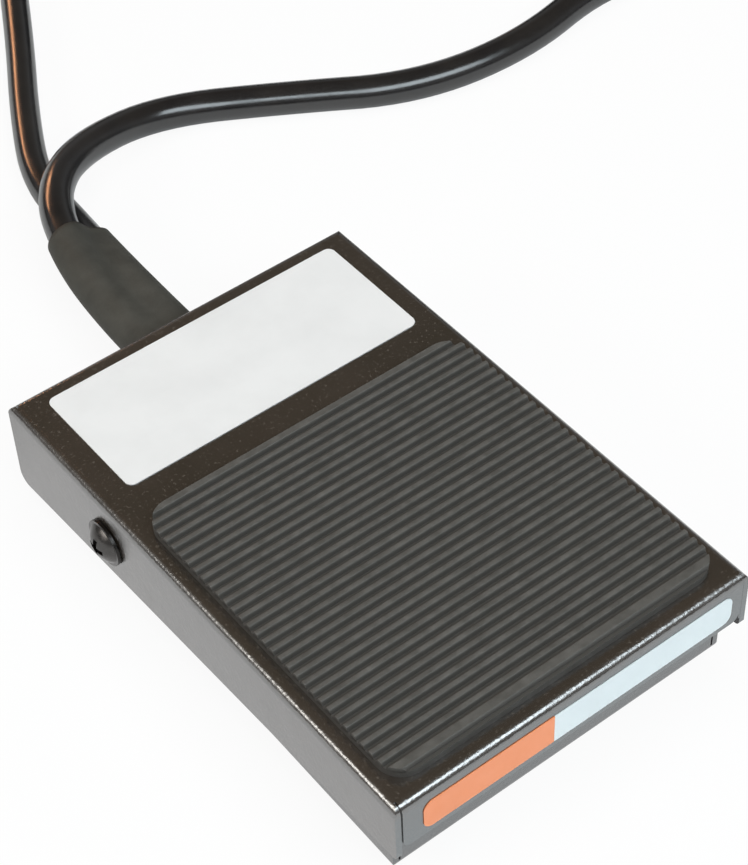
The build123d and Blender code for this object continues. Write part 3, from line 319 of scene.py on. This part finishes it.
def cord_sheath():
    """Glossy black sheath with faint drawing marks."""
    sheath = Finish("cord_sheath", (0.010, 0.010, 0.011), 0.2, 1.75)
    sheath.colour(sheath.mixed(sheath.patches(0.01), (0.009, 0.009, 0.010), (0.020, 0.018, 0.017)))
    sheath.rough(sheath.spread(sheath.noise(0.004, 4.0), 0.3, 0.7, 0.17, 0.24))
    sheath.bump(sheath.noise(0.012, 2.0), 0.00003, 0.5)
    return sheath.material


def shrink_tube():
    """Matt shrink tube, lightly wrinkled and scuffed."""
    tube = Finish("shrink_tube", (0.04, 0.039, 0.034), 0.55, 1.33)
    tube.colour(tube.mixed(tube.patches(0.006), (0.052, 0.051, 0.044), (0.082, 0.080, 0.069)))
    tube.rough(tube.spread(tube.noise(0.003, 4.0), 0.3, 0.7, 0.62, 0.76))
    tube.bump(tube.noise(0.006, 3.0, 0.5, (1.0, 0.35, 1.0)), 0.00012, 0.6)
    tube.bump(tube.noise(0.0006), 0.00003)
    return tube.material


def two_tone_wire():
    """Green insulation with yellow bands."""
    wire = Finish("earth_wire", (0.08, 0.32, 0.06), 0.35)
    bands = wire.node("ShaderNodeTexWave", wave_type="BANDS", bands_direction="DIAGONAL")
    bands.inputs["Scale"].default_value = 200.0
    wire.join(wire.place, bands.inputs["Vector"])
    share = wire.spread(bands.outputs["Fac"], 0.55, 0.6, 0.0, 1.0)
    wire.colour(wire.mixed(share, (0.08, 0.32, 0.06), (0.75, 0.6, 0.05)))
    wire.bump(wire.noise(0.001), 0.00002)
    return wire.material


FINISHES = {
    "treadle_paint": textured_paint(
        "treadle_paint", (0.018, 0.014, 0.010), (0.028, 0.021, 0.016), (0.10, 0.085, 0.07), 2.9
    ),
    "base_paint": textured_paint(
        "base_paint", (0.03, 0.029, 0.029), (0.042, 0.041, 0.041), (0.09, 0.085, 0.08), 2.2
    ),
    "mat_rubber": mat_rubber(),
    "foot_rubber": black_rubber("foot_rubber", (0.02, 0.02, 0.02)),
    "plate_white": film("plate_white", (0.87, 0.865, 0.86)),
    "strip_orange": film("strip_orange", (0.96, 0.31, 0.125)),
    "strip_white": film("strip_white", (0.80, 0.88, 0.90)),
    "zinc_steel": metal("zinc_steel", (0.56, 0.56, 0.57), 0.32),
    "dark_steel": metal("dark_steel", (0.10, 0.095, 0.092), 0.3),
    "spring_steel": metal("spring_steel", (0.60, 0.60, 0.60), 0.28),
    "switch_plastic": moulded("switch_plastic", (0.025, 0.025, 0.027), 0.45),
    "switch_cover_plastic": moulded("switch_cover_plastic", (0.06, 0.06, 0.065), 0.5),
    "plunger_plastic": moulded("plunger_plastic", (0.55, 0.04, 0.03), 0.35),
    "brass": metal("brass", (0.75, 0.55, 0.26), 0.3),
    "pin_metal": metal("pin_metal", (0.78, 0.76, 0.71), 0.2),
    "clamp_steel": metal("clamp_steel", (0.50, 0.50, 0.51), 0.38),
    "grommet_rubber": black_rubber("grommet_rubber", (0.018, 0.018, 0.018)),
    "pad_rubber": black_rubber("pad_rubber", (0.08, 0.08, 0.08)),
    "cord_jacket": cord_sheath(),
    "sleeve_plastic": shrink_tube(),
    "wire_brown": moulded("wire_brown", (0.16, 0.06, 0.025), 0.35),
    "wire_blue": moulded("wire_blue", (0.02, 0.09, 0.42), 0.35),
    "wire_earth": two_tone_wire(),
    "cap_plastic": moulded("cap_plastic", (0.72, 0.70, 0.64), 0.45),
    "plug_plastic": moulded("plug_plastic", (0.016, 0.016, 0.017), 0.42, 0.00004),
}


def slot_of(node):
    return next(part["material_slot"] for part in frame["record"]["subparts"] if part["node"] == node)


def dress_cad_nodes():
    """Give every CAD node the finish of its slot."""
    for name, obj in frame["nodes"].items():
        obj.data.materials.clear()
        obj.data.materials.append(FINISHES[slot_of(name)])


def add_piece(name, mesh, body, slot, replaced=()):
    """Put a finished mesh into the scene as a piece that rides on a body."""
    obj = bpy.data.objects.new(name, mesh)
    scene.collection.objects.link(obj)
    mesh.materials.clear()
    mesh.materials.append(FINISHES[slot])
    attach(obj, body)
    if replaced:
        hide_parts(*replaced)
    return obj


def plain_mesh(obj):
    """The mesh that an object's modifiers make; the object itself is removed."""
    depsgraph = bpy.context.evaluated_depsgraph_get()
    mesh = bpy.data.meshes.new_from_object(obj.evaluated_get(depsgraph), depsgraph=depsgraph)
    bpy.data.objects.remove(obj)
    return mesh


def loose_object(name, mesh):
    obj = bpy.data.objects.new(name, mesh)
    scene.collection.objects.link(obj)
    return obj


SHARP_DEGREES = 28.0
ROUND_WIRE_DEGREES = 50.0
FLAT_DEGREES = 0.3
SAME_POINT = 2e-6


def merged_copy(node, sharp_degrees=SHARP_DEGREES):
    """A node's mesh with its triangles joined, flat faces dissolved and its curved faces shaded smooth."""
    mesh = frame["nodes"][node].data.copy()
    form = bmesh.new()
    form.from_mesh(mesh)
    bmesh.ops.remove_doubles(form, verts=form.verts, dist=SAME_POINT)
    flat = math.radians(FLAT_DEGREES)
    bmesh.ops.dissolve_limit(form, angle_limit=flat, verts=form.verts, edges=form.edges)
    for face in form.faces:
        face.smooth = True
    for edge in form.edges:
        sharp = len(edge.link_faces) != 2 or edge.calc_face_angle(0.0) > math.radians(sharp_degrees)
        edge.smooth = not sharp
    form.to_mesh(mesh)
    form.free()
    return mesh


def eased_copy(node, body, width, segments=2):
    """A merged copy of a node with its sharp edges eased, in the node's place."""
    obj = loose_object(node + "_eased", merged_copy(node))
    bevel = obj.modifiers.new("eased_edges", "BEVEL")
    bevel.width = width
    bevel.segments = segments
    bevel.limit_method = "ANGLE"
    bevel.angle_limit = math.radians(SHARP_DEGREES)
    bevel.harden_normals = True
    bevel.use_clamp_overlap = True
    return add_piece(node + "_skin", plain_mesh(obj), body, slot_of(node), [node])


def return_spring_wire():
    """The return spring, a merged copy of its node that rides on the base."""
    wire = merged_copy("return_spring", ROUND_WIRE_DEGREES)
    spring = add_piece("return_spring_wire", wire, "base", "spring_steel", ["return_spring"])
    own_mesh(spring)


def body_of_node(node):
    return frame["nodes"][node]["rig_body"]


def ease_nodes():
    """Ease the edges of the sheet metal, the screws and the moulded pieces."""
    widths = {
        "treadle_cover": 0.00012,
        "base_pan": 0.00015,
        "rating_plate": 0.00005,
        "front_strip_left": 0.00005,
        "front_strip_right": 0.00005,
        "foot_front_left": 0.0003,
        "foot_front_right": 0.0003,
        "foot_rear_left": 0.0003,
        "foot_rear_right": 0.0003,
        "hinge_screw_left": 0.00015,
        "hinge_screw_right": 0.00015,
        "cord_grommet": 0.0002,
        "supply_plug": 0.0004,
        "supply_plug_pins": 0.0002,
        "load_connector": 0.0004,
    }
    return {node: eased_copy(node, body_of_node(node), width) for node, width in widths.items()}


def curve_line(name, points):
    """A smooth open line with the given control points, in millimetres."""
    curve = bpy.data.curves.new(name, "CURVE")
    curve.dimensions = "3D"
    spline = curve.splines.new("NURBS")
    spline.points.add(len(points) - 1)
    for point, place in zip(spline.points, points):
        point.co = (*(value * MM for value in place), 1.0)
    spline.order_u = 3
    spline.use_endpoint_u = True
    curve.resolution_u = 8
    return loose_object(name, curve)


def line_points(line):
    """Points along a line that has no thickness yet."""
    depsgraph = bpy.context.evaluated_depsgraph_get()
    mesh = bpy.data.meshes.new_from_object(line.evaluated_get(depsgraph), depsgraph=depsgraph)
    points = [vertex.co.copy() for vertex in mesh.vertices]
    bpy.data.meshes.remove(mesh)
    return points


def coil_points(coil):
    """Control points of a coil: five turns and an arc, changing lanes one after another."""
    total = 360.0 * (len(COIL_LANES) - 1) + coil["arc"]
    steps = round(total / COIL_STEP)
    step = total / steps
    outwards = 1.0 / math.cos(math.radians(step / 2))
    points = []
    for index in range(steps):
        turned = (index + 0.5) * step
        lane = 0.0
        for change in range(1, len(COIL_LANES)):
            start = 360.0 * change - LANE_CHANGE * change
            share = min(1.0, max(0.0, (turned - start) / LANE_CHANGE))
            lane += share * share * (3 - 2 * share)
        low = min(int(lane), len(COIL_LANES) - 2)
        share = lane - low
        column = COIL_LANES[low][0] * (1 - share) + COIL_LANES[low + 1][0] * share
        row = COIL_LANES[low][1] * (1 - share) + COIL_LANES[low + 1][1] * share
        radius = coil["mid"] + ((COIL_COLUMNS - 1) / 2 - column) * coil["diameter"]
        angle = math.radians(coil["entry"] + coil["way"] * turned)
        x = coil["centre"][0] + radius * outwards * math.cos(angle)
        y = coil["centre"][1] + radius * outwards * math.sin(angle)
        points.append((x, y, (row + 0.5) * coil["diameter"]))
    return points


def supply_points():
    centre = SUPPLY_COIL["centre"]
    outer = SUPPLY_COIL["mid"] + SUPPLY_DIAMETER
    tail = [(centre[0] + outer, centre[1] + run, height) for run, height in SUPPLY_TAIL]
    return SUPPLY_ROUTE + coil_points(SUPPLY_COIL) + tail


def load_points():
    centre = LOAD_COIL["centre"]
    outer = LOAD_COIL["mid"] + LOAD_DIAMETER
    end = (centre[0] + LOAD_TAIL_RUN, centre[1] + outer, 1.5 * LOAD_DIAMETER)
    return LOAD_ROUTE + coil_points(LOAD_COIL) + [end]


def free_lead(name, points, diameter, replaced):
    """A lead along its line: thickened and dressed. Returns the points of its middle."""
    line = curve_line(name, points)
    middle = line_points(line)
    line.data.bevel_depth = diameter * MM / 2
    line.data.bevel_resolution = 6
    line.data.use_fill_caps = True
    line.data.materials.append(FINISHES["cord_jacket"])
    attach(line, "base")
    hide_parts(*replaced)
    return middle


def point_at_depth(middle, y):
    """Where a lead's middle crosses a plane across Y, and the way it runs there."""
    for before, after in zip(middle, middle[1:]):
        if before.y <= y <= after.y:
            share = (y - before.y) / (after.y - before.y)
            return before.lerp(after, share), (after - before).normalized()
    raise ValueError("the lead doesn't reach that far")


SLEEVE_START = 0.0327
SLEEVE_END = 0.1015
SLEEVE_WALL = 0.0008
SLEEVE_RINGS = 60
SLEEVE_ARC = 20
SLEEVE_FLAT = 6
SLEEVE_WAIST = 0.0006
SLEEVE_WAIST_FROM = 0.35
SLEEVE_WAIST_RISE = 3
SLEEVE_RIM = 0.8
SLEEVE_RIM_DEPTH = 0.004


def sleeve_ring(supply, load, forward, supply_radius, load_radius, waist):
    """Points of one section round both leads, pulled in a little between them."""
    across = (load - supply).normalized()
    lift = across.cross(forward).normalized()
    ring = []
    for index in range(SLEEVE_ARC + 1):
        angle = math.pi * (index / SLEEVE_ARC - 0.5)
        ring.append(load + (across * math.cos(angle) + lift * math.sin(angle)) * load_radius)
    ring += sleeve_flat(ring[-1], supply + lift * supply_radius, -lift, waist)
    for index in range(SLEEVE_ARC + 1):
        angle = math.pi * (index / SLEEVE_ARC + 0.5)
        ring.append(supply + (across * math.cos(angle) + lift * math.sin(angle)) * supply_radius)
    ring += sleeve_flat(ring[-1], load - lift * load_radius, lift, waist)
    return ring


def sleeve_flat(start, end, inwards, waist):
    points = []
    for index in range(1, SLEEVE_FLAT):
        share = index / SLEEVE_FLAT
        points.append(start.lerp(end, share) + inwards * waist * math.sin(math.pi * share) ** 2)
    return points


def shrink_sleeve(supply_middle, load_middle):
    """The sleeve follows both leads, ends in a cut rim and is closed a little way inside."""
    rings = []
    radii = (SUPPLY_DIAMETER * MM / 2 + SLEEVE_WALL, LOAD_DIAMETER * MM / 2 + SLEEVE_WALL)
    for index in range(SLEEVE_RINGS + 1):
        share = index / SLEEVE_RINGS
        y = SLEEVE_START + (SLEEVE_END - SLEEVE_START) * share
        supply, supply_way = point_at_depth(supply_middle, y)
        load, load_way = point_at_depth(load_middle, y)
        forward = (supply_way + load_way).normalized()
        waist = SLEEVE_WAIST * min(1.0, max(0.0, (share - SLEEVE_WAIST_FROM) * SLEEVE_WAIST_RISE))
        rings.append(sleeve_ring(supply, load, forward, *radii, waist))
    inner_radii = [radius - SLEEVE_WALL * SLEEVE_RIM for radius in radii]
    for y in (SLEEVE_END, SLEEVE_END - SLEEVE_RIM_DEPTH):
        supply, supply_way = point_at_depth(supply_middle, y)
        load, load_way = point_at_depth(load_middle, y)
        forward = (supply_way + load_way).normalized()
        rings.append(sleeve_ring(supply, load, forward, *inner_radii, SLEEVE_WAIST))
    form = bmesh.new()
    made = [[form.verts.new(point) for point in ring] for ring in rings]
    for before, after in zip(made, made[1:]):
        for index in range(len(before)):
            following = (index + 1) % len(before)
            form.faces.new((before[index], before[following], after[following], after[index]))
    form.faces.new(list(reversed(made[0])))
    form.faces.new(made[-1])
    bmesh.ops.recalc_face_normals(form, faces=form.faces)
    for face in form.faces:
        face.smooth = True
    mesh = bpy.data.meshes.new("shrink_sleeve")
    form.to_mesh(mesh)
    form.free()
    return add_piece("shrink_sleeve_skin", mesh, "base", "sleeve_plastic", ["shrink_sleeve"])


def bar_along_x(name, section, low_x, high_x):
    """A straight bar along X between two places, its section given as (y, z) points."""
    form = bmesh.new()
    ends = []
    for x in (low_x, high_x):
        ends.append([form.verts.new((x, y, z)) for y, z in section])
    count = len(section)
    for index in range(count):
        following = (index + 1) % count
        form.faces.new((ends[0][index], ends[0][following], ends[1][following], ends[1][index]))
    form.faces.new(ends[0][::-1])
    form.faces.new(ends[1])
    bmesh.ops.recalc_face_normals(form, faces=form.faces)
    mesh = bpy.data.meshes.new(name)
    form.to_mesh(mesh)
    form.free()
    return mesh


RIB_SHOULDER = 0.00024
RIB_SHOULDER_STEPS = 5
RIB_SHOULDER_START = 165.0
RIB_SHOULDER_TURN = 18.75
RIB_FOOT = 0.0004
RIB_OVERHANG = 0.001


def rib_bar(top_width):
    """One straight rib along X: a flat top with rounded shoulders, sloped flanks and a foot in the base."""
    slope = (MAT_GROOVE_TOP - MAT_GROOVE_FLOOR) / 2
    top_half = top_width / 2
    section = [(-top_half - slope, -RIB_FOOT), (-top_half - slope, 0.0)]
    for index in range(RIB_SHOULDER_STEPS):
        angle = math.radians(RIB_SHOULDER_START - RIB_SHOULDER_TURN * index)
        reach = RIB_SHOULDER * math.cos(angle)
        rise = RIB_SHOULDER * math.sin(angle)
        section.append((RIB_SHOULDER - top_half + reach, MAT_GROOVE_DEPTH - RIB_SHOULDER + rise))
    section += [(-y, z) for y, z in reversed(section)]
    half_length = MAT_WIDTH / 2 + RIB_OVERHANG
    return bar_along_x("rib_bar", section, -half_length, half_length)


def rib_row_tree():
    """Geometry nodes that lay ribs side by side along Y."""
    tree = bpy.data.node_groups.new("rib_row", "GeometryNodeTree")
    tree.interface.new_socket("Rib", in_out="INPUT", socket_type="NodeSocketObject")
    tree.interface.new_socket("Count", in_out="INPUT", socket_type="NodeSocketInt")
    tree.interface.new_socket("Pitch", in_out="INPUT", socket_type="NodeSocketFloat")
    tree.interface.new_socket("Material", in_out="INPUT", socket_type="NodeSocketMaterial")
    tree.interface.new_socket("Geometry", in_out="OUTPUT", socket_type="NodeSocketGeometry")
    nodes, links = tree.nodes, tree.links
    given = nodes.new("NodeGroupInput")
    result = nodes.new("NodeGroupOutput")
    step = nodes.new("ShaderNodeCombineXYZ")
    row = nodes.new("GeometryNodeMeshLine")
    rib = nodes.new("GeometryNodeObjectInfo")
    lay = nodes.new("GeometryNodeInstanceOnPoints")
    realize = nodes.new("GeometryNodeRealizeInstances")
    dress = nodes.new("GeometryNodeSetMaterial")
    links.new(given.outputs["Pitch"], step.inputs["Y"])
    links.new(step.outputs["Vector"], row.inputs["Offset"])
    links.new(given.outputs["Count"], row.inputs["Count"])
    links.new(given.outputs["Rib"], rib.inputs["Object"])
    links.new(row.outputs["Mesh"], lay.inputs["Points"])
    links.new(rib.outputs["Geometry"], lay.inputs["Instance"])
    links.new(lay.outputs["Instances"], realize.inputs["Geometry"])
    links.new(realize.outputs["Geometry"], dress.inputs["Geometry"])
    links.new(given.outputs["Material"], dress.inputs["Material"])
    links.new(dress.outputs["Geometry"], result.inputs["Geometry"])
    return tree


def set_input(modifier, name, value):
    """Set a geometry nodes input by its socket's identifier."""
    for item in modifier.node_group.interface.items_tree:
        if item.item_type == "SOCKET" and item.in_out == "INPUT" and item.name == name:
            modifier[item.identifier] = value


def rounded_plan(width, length, radius, bottom, top, steps=10):
    """A slab with rounded corners in plan, its front edge on y = 0."""
    outline = []
    corners = [
        (width / 2 - radius, radius, -90),
        (width / 2 - radius, length - radius, 0),
        (-width / 2 + radius, length - radius, 90),
        (-width / 2 + radius, radius, 180),
    ]
    for x, y, start in corners:
        for index in range(steps + 1):
            angle = math.radians(start + 90 * index / steps)
            outline.append((x + radius * math.cos(angle), y + radius * math.sin(angle)))
    form = bmesh.new()
    low = [form.verts.new((x, y, bottom)) for x, y in outline]
    high = [form.verts.new((x, y, top)) for x, y in outline]
    for index in range(len(outline)):
        following = (index + 1) % len(outline)
        form.faces.new((low[index], low[following], high[following], high[index]))
    form.faces.new(list(reversed(low)))
    form.faces.new(high)
    mesh = bpy.data.meshes.new("rounded_plan")
    form.to_mesh(mesh)
    form.free()
    return mesh


def treadle_place():
    return Matrix.Translation(HINGE_PLACE) @ Matrix.Rotation(math.radians(REST_TILT), 4, "X")


def rib_row():
    """All ribs behind the wide front one, laid by geometry nodes, with the end ribs added."""
    rib = loose_object("rib_bar", rib_bar(MAT_PITCH - MAT_GROOVE_TOP))
    ribs = loose_object("mat_ribs", bpy.data.meshes.new("mat_ribs"))
    row = ribs.modifiers.new("rib_row", "NODES")
    row.node_group = rib_row_tree()
    set_input(row, "Rib", rib)
    set_input(row, "Count", MAT_GROOVES - 1)
    set_input(row, "Pitch", MAT_PITCH)
    set_input(row, "Material", FINISHES["mat_rubber"])
    mesh = plain_mesh(ribs)
    bpy.data.objects.remove(rib)
    first = MAT_FRONT_RIB + MAT_GROOVE_TOP + (MAT_PITCH - MAT_GROOVE_TOP) / 2
    mesh.transform(Matrix.Translation((0, first, 0)))
    form = bmesh.new()
    form.from_mesh(mesh)
    front_middle = MAT_FRONT_RIB - MAT_FRONT_TOP / 2
    for width, middle in ((MAT_FRONT_TOP, front_middle), (MAT_REAR_RIB * 2, MAT_LENGTH)):
        end_rib = rib_bar(width)
        end_rib.transform(Matrix.Translation((0, middle, 0)))
        form.from_mesh(end_rib)
    form.to_mesh(mesh)
    form.free()
    mesh.transform(Matrix.Translation((0, 0, MAT_THICKNESS - MAT_GROOVE_DEPTH)))
    return mesh


TRIM_BELOW_FLOOR = 0.0003
TRIM_ABOVE_RIBS = 0.001
MAT_SHARP_DEGREES = 30.0


def tread_mat():
    """The ribs, trimmed to the mat's rounded outline and set on its base."""
    groove_floor = MAT_THICKNESS - MAT_GROOVE_DEPTH
    trimmed = loose_object("mat_ribs_trimmed", rib_row())
    low = groove_floor - TRIM_BELOW_FLOOR
    high = MAT_THICKNESS + TRIM_ABOVE_RIBS
    plan = loose_object("mat_plan", rounded_plan(MAT_WIDTH, MAT_LENGTH, MAT_CORNER, low, high))
    trim = trimmed.modifiers.new("trim", "BOOLEAN")
    trim.operation = "INTERSECT"
    trim.object = plan
    trim.solver = "EXACT"
    mesh = plain_mesh(trimmed)
    bpy.data.objects.remove(plan)
    base = rounded_plan(MAT_WIDTH, MAT_LENGTH, MAT_CORNER, 0.0, groove_floor)
    form = bmesh.new()
    form.from_mesh(mesh)
    form.from_mesh(base)
    for face in form.faces:
        face.smooth = True
    sharp = math.radians(MAT_SHARP_DEGREES)
    for edge in form.edges:
        edge.smooth = len(edge.link_faces) == 2 and edge.calc_face_angle(0.0) < sharp
    form.to_mesh(mesh)
    form.free()
    mesh.transform(treadle_place() @ Matrix.Translation((0, MAT_FRONT, MAT_BOTTOM)))
    return add_piece("tread_mat_ribbed", mesh, "treadle", "mat_rubber", ["tread_mat"])


SEAM_WIDTH = 0.00035
SEAM_FROM_MIDDLE = 0.037125
TREADLE_FRONT = -0.0837
TREADLE_TOP = 0.0099
TREADLE_BEND = 0.0018
SEAM_LOW = -0.0012
SEAM_DEPTH = 0.0007
SEAM_STEPS = 8
LEFT_SEAM_SUNK = 0.0004
RIGHT_SEAM_SUNK = 0.00002


def filled_seam(name, middle, sunk):
    """Paint that fills the seam of a front corner, round its bend and down its face, a little sunk."""
    outside = TREADLE_BEND - sunk
    inside = outside - SEAM_DEPTH
    section = []
    for reach, turn in ((outside, 1), (inside, -1)):
        arc = []
        for index in range(SEAM_STEPS + 1):
            angle = math.radians(90 * index / SEAM_STEPS)
            y = TREADLE_FRONT + TREADLE_BEND - reach * math.sin(angle)
            arc.append((y, TREADLE_TOP - TREADLE_BEND + reach * math.cos(angle)))
        arc.append((TREADLE_FRONT + TREADLE_BEND - reach, SEAM_LOW))
        section += arc[::turn]
    mesh = bar_along_x(name, section, middle - SEAM_WIDTH / 2, middle + SEAM_WIDTH / 2)
    mesh.transform(treadle_place())
    return add_piece(name, mesh, "treadle", "treadle_paint")


CAMERA_GLOW = 0.92
GLOSS_GLOW = 1.0
TREADLE_HALF = (0.0385, 0.0576)
BRIGHT_REACH = 0.006
DIM_REACH = 0.030
DIM_GLOW = 0.12
COOL_GLOW = (0.88, 0.96, 1.0, 1.0)
SKY_STOPS = [
    (0.0, (0.10, 0.095, 0.09)),
    (0.14, (0.09, 0.085, 0.08)),
    (0.30, (0.26, 0.26, 0.26)),
    (0.50, (0.16, 0.145, 0.13)),
    (0.66, (0.098, 0.078, 0.056)),
    (1.0, (0.128, 0.108, 0.085)),
]


def camera_share(tree, path):
    """How much of the floor's own glow the camera sees; the rest keeps the object's shadow."""
    share = tree.nodes.new("ShaderNodeMath")
    share.operation = "MULTIPLY"
    share.inputs[1].default_value = CAMERA_GLOW
    tree.links.new(path.outputs["Is Camera Ray"], share.inputs[0])
    return share.outputs[0]


def gloss_share(tree, path):
    """The floor's glow in gloss: bright near the treadle, dim further out."""
    place = tree.nodes.new("ShaderNodeTexCoord")
    size = tree.nodes.new("ShaderNodeVectorMath")
    size.operation = "ABSOLUTE"
    beside = tree.nodes.new("ShaderNodeVectorMath")
    beside.operation = "SUBTRACT"
    beside.inputs[1].default_value = (*TREADLE_HALF, 0.0)
    outside = tree.nodes.new("ShaderNodeVectorMath")
    outside.operation = "MAXIMUM"
    outside.inputs[1].default_value = (0.0, 0.0, 0.0)
    distance = tree.nodes.new("ShaderNodeVectorMath")
    distance.operation = "LENGTH"
    fade = tree.nodes.new("ShaderNodeMapRange")
    ranges = (BRIGHT_REACH, DIM_REACH, GLOSS_GLOW, DIM_GLOW)
    for key, value in zip(("From Min", "From Max", "To Min", "To Max"), ranges):
        fade.inputs[key].default_value = value
    share = tree.nodes.new("ShaderNodeMath")
    share.operation = "MULTIPLY"
    tree.links.new(place.outputs["Object"], size.inputs[0])
    tree.links.new(size.outputs["Vector"], beside.inputs[0])
    tree.links.new(beside.outputs["Vector"], outside.inputs[0])
    tree.links.new(outside.outputs["Vector"], distance.inputs[0])
    tree.links.new(distance.outputs["Value"], fade.inputs["Value"])
    tree.links.new(fade.outputs["Result"], share.inputs[0])
    tree.links.new(path.outputs["Is Glossy Ray"], share.inputs[1])
    return share.outputs[0]


TINT_FADE = 0.004


def glow_tint(tree):
    """Tint of the floor's glow: neutral beside the treadle, cooler in front of it."""
    place = tree.nodes.new("ShaderNodeTexCoord")
    split = tree.nodes.new("ShaderNodeSeparateXYZ")
    ramp = tree.nodes.new("ShaderNodeValToRGB")
    shift = tree.nodes.new("ShaderNodeMapRange")
    shift.inputs["From Min"].default_value = -TREADLE_HALF[1] - TINT_FADE
    shift.inputs["From Max"].default_value = -TREADLE_HALF[1] + TINT_FADE
    ramp.color_ramp.elements[0].color = COOL_GLOW
    ramp.color_ramp.elements[1].color = (1, 1, 1, 1)
    path = tree.nodes.new("ShaderNodeLightPath")
    seen = tree.nodes.new("ShaderNodeMix")
    seen.data_type = "RGBA"
    tree.links.new(place.outputs["Object"], split.inputs[0])
    tree.links.new(split.outputs["Y"], shift.inputs["Value"])
    tree.links.new(shift.outputs["Result"], ramp.inputs["Fac"])
    tree.links.new(path.outputs["Is Camera Ray"], seen.inputs["Factor"])
    colours = [socket for socket in seen.inputs if socket.type == "RGBA"]
    tree.links.new(ramp.outputs["Color"], colours[0])
    colours[1].default_value = (1, 1, 1, 1)
    return [socket for socket in seen.outputs if socket.type == "RGBA"][0]


def white_floor():
    """Pale floor that shows white to the camera and in gloss, and keeps the object's shadow."""
    bpy.ops.mesh.primitive_plane_add(size=40.0, location=(0, 0, 0))
    floor = bpy.context.object
    floor.name = "floor"
    material = bpy.data.materials.new("floor_white")
    material.use_nodes = True
    tree = material.node_tree
    tree.nodes.clear()
    output = tree.nodes.new("ShaderNodeOutputMaterial")
    diffuse = tree.nodes.new("ShaderNodeBsdfDiffuse")
    diffuse.inputs["Color"].default_value = (0.9, 0.9, 0.9, 1)
    glow = tree.nodes.new("ShaderNodeEmission")
    tree.links.new(glow_tint(tree), glow.inputs["Color"])
    path = tree.nodes.new("ShaderNodeLightPath")
    most = tree.nodes.new("ShaderNodeMath")
    most.operation = "MAXIMUM"
    tree.links.new(camera_share(tree, path), most.inputs[0])
    tree.links.new(gloss_share(tree, path), most.inputs[1])
    mix = tree.nodes.new("ShaderNodeMixShader")
    tree.links.new(most.outputs[0], mix.inputs["Fac"])
    tree.links.new(diffuse.outputs[0], mix.inputs[1])
    tree.links.new(glow.outputs[0], mix.inputs[2])
    tree.links.new(mix.outputs[0], output.inputs["Surface"])
    floor.data.materials.append(material)


def studio_world():
    """Dim studio, palest some way above the horizon; white where the camera looks past the floor."""
    world = bpy.data.worlds.new("studio")
    scene.world = world
    world.use_nodes = True
    tree = world.node_tree
    tree.nodes.clear()
    output = tree.nodes.new("ShaderNodeOutputWorld")
    place = tree.nodes.new("ShaderNodeTexCoord")
    split = tree.nodes.new("ShaderNodeSeparateXYZ")
    ramp = tree.nodes.new("ShaderNodeValToRGB")
    elements = ramp.color_ramp.elements
    while len(elements) < len(SKY_STOPS):
        elements.new(0.5)
    for element, (position, colour) in zip(elements, SKY_STOPS):
        element.position = position
        element.color = (*colour, 1)
    room = tree.nodes.new("ShaderNodeBackground")
    white = tree.nodes.new("ShaderNodeBackground")
    path = tree.nodes.new("ShaderNodeLightPath")
    mix = tree.nodes.new("ShaderNodeMixShader")
    tree.links.new(place.outputs["Generated"], split.inputs[0])
    tree.links.new(split.outputs["Z"], ramp.inputs["Fac"])
    tree.links.new(ramp.outputs["Color"], room.inputs["Color"])
    tree.links.new(path.outputs["Is Camera Ray"], mix.inputs["Fac"])
    tree.links.new(room.outputs[0], mix.inputs[1])
    tree.links.new(white.outputs[0], mix.inputs[2])
    tree.links.new(mix.outputs[0], output.inputs["Surface"])
    white.inputs["Color"].default_value = (1, 1, 1, 1)


def soft_light(name, place, aim, size, power, colour, in_diffuse=True, in_gloss=True):
    data = bpy.data.lights.new(name, "AREA")
    data.shape = "RECTANGLE"
    data.size, data.size_y = size
    data.energy = power
    data.color = colour
    lamp = bpy.data.objects.new(name, data)
    lamp.location = place
    lamp.rotation_euler = (Vector(aim) - Vector(place)).to_track_quat("-Z", "Y").to_euler()
    lamp.visible_diffuse = in_diffuse
    lamp.visible_glossy = in_gloss
    scene.collection.objects.link(lamp)


photo_camera()
dress_cad_nodes()
eased = ease_nodes()
supply_middle = free_lead(
    "supply_lead", supply_points(), SUPPLY_DIAMETER,
    ["supply_cord", "supply_coil", "supply_cord_tail"],
)
load_middle = free_lead(
    "load_lead", load_points(), LOAD_DIAMETER,
    ["load_cord", "load_coil", "load_cord_tail"],
)
shrink_sleeve(supply_middle, load_middle)
tread_mat()
return_spring_wire()
filled_seam("left_seam_fill", -SEAM_FROM_MIDDLE, LEFT_SEAM_SUNK)
filled_seam("right_seam_fill", SEAM_FROM_MIDDLE, RIGHT_SEAM_SUNK)
white_floor()
studio_world()
soft_light("left_strip", (-1.0, 0.25, 0.62), (0, 0, 0), (0.7, 0.34), 4.6, (1.0, 0.97, 0.91))
soft_light("front_box", (0.05, -0.95, 1.05), (0, 0, 0), (1.3, 0.60), 14.0, (0.84, 0.94, 1.0))
soft_light(
    "rear_warm", (0.0, 1.15, 0.42), (0, 0.1, 0), (0.5, 0.12), 2.0, (1.0, 0.46, 0.22),
    in_diffuse=False,
)
soft_light("top_fill", (0.1, 0.0, 1.5), (0, 0, 0), (1.2, 1.2), 9.0, (1.0, 1.0, 1.0), in_gloss=False)
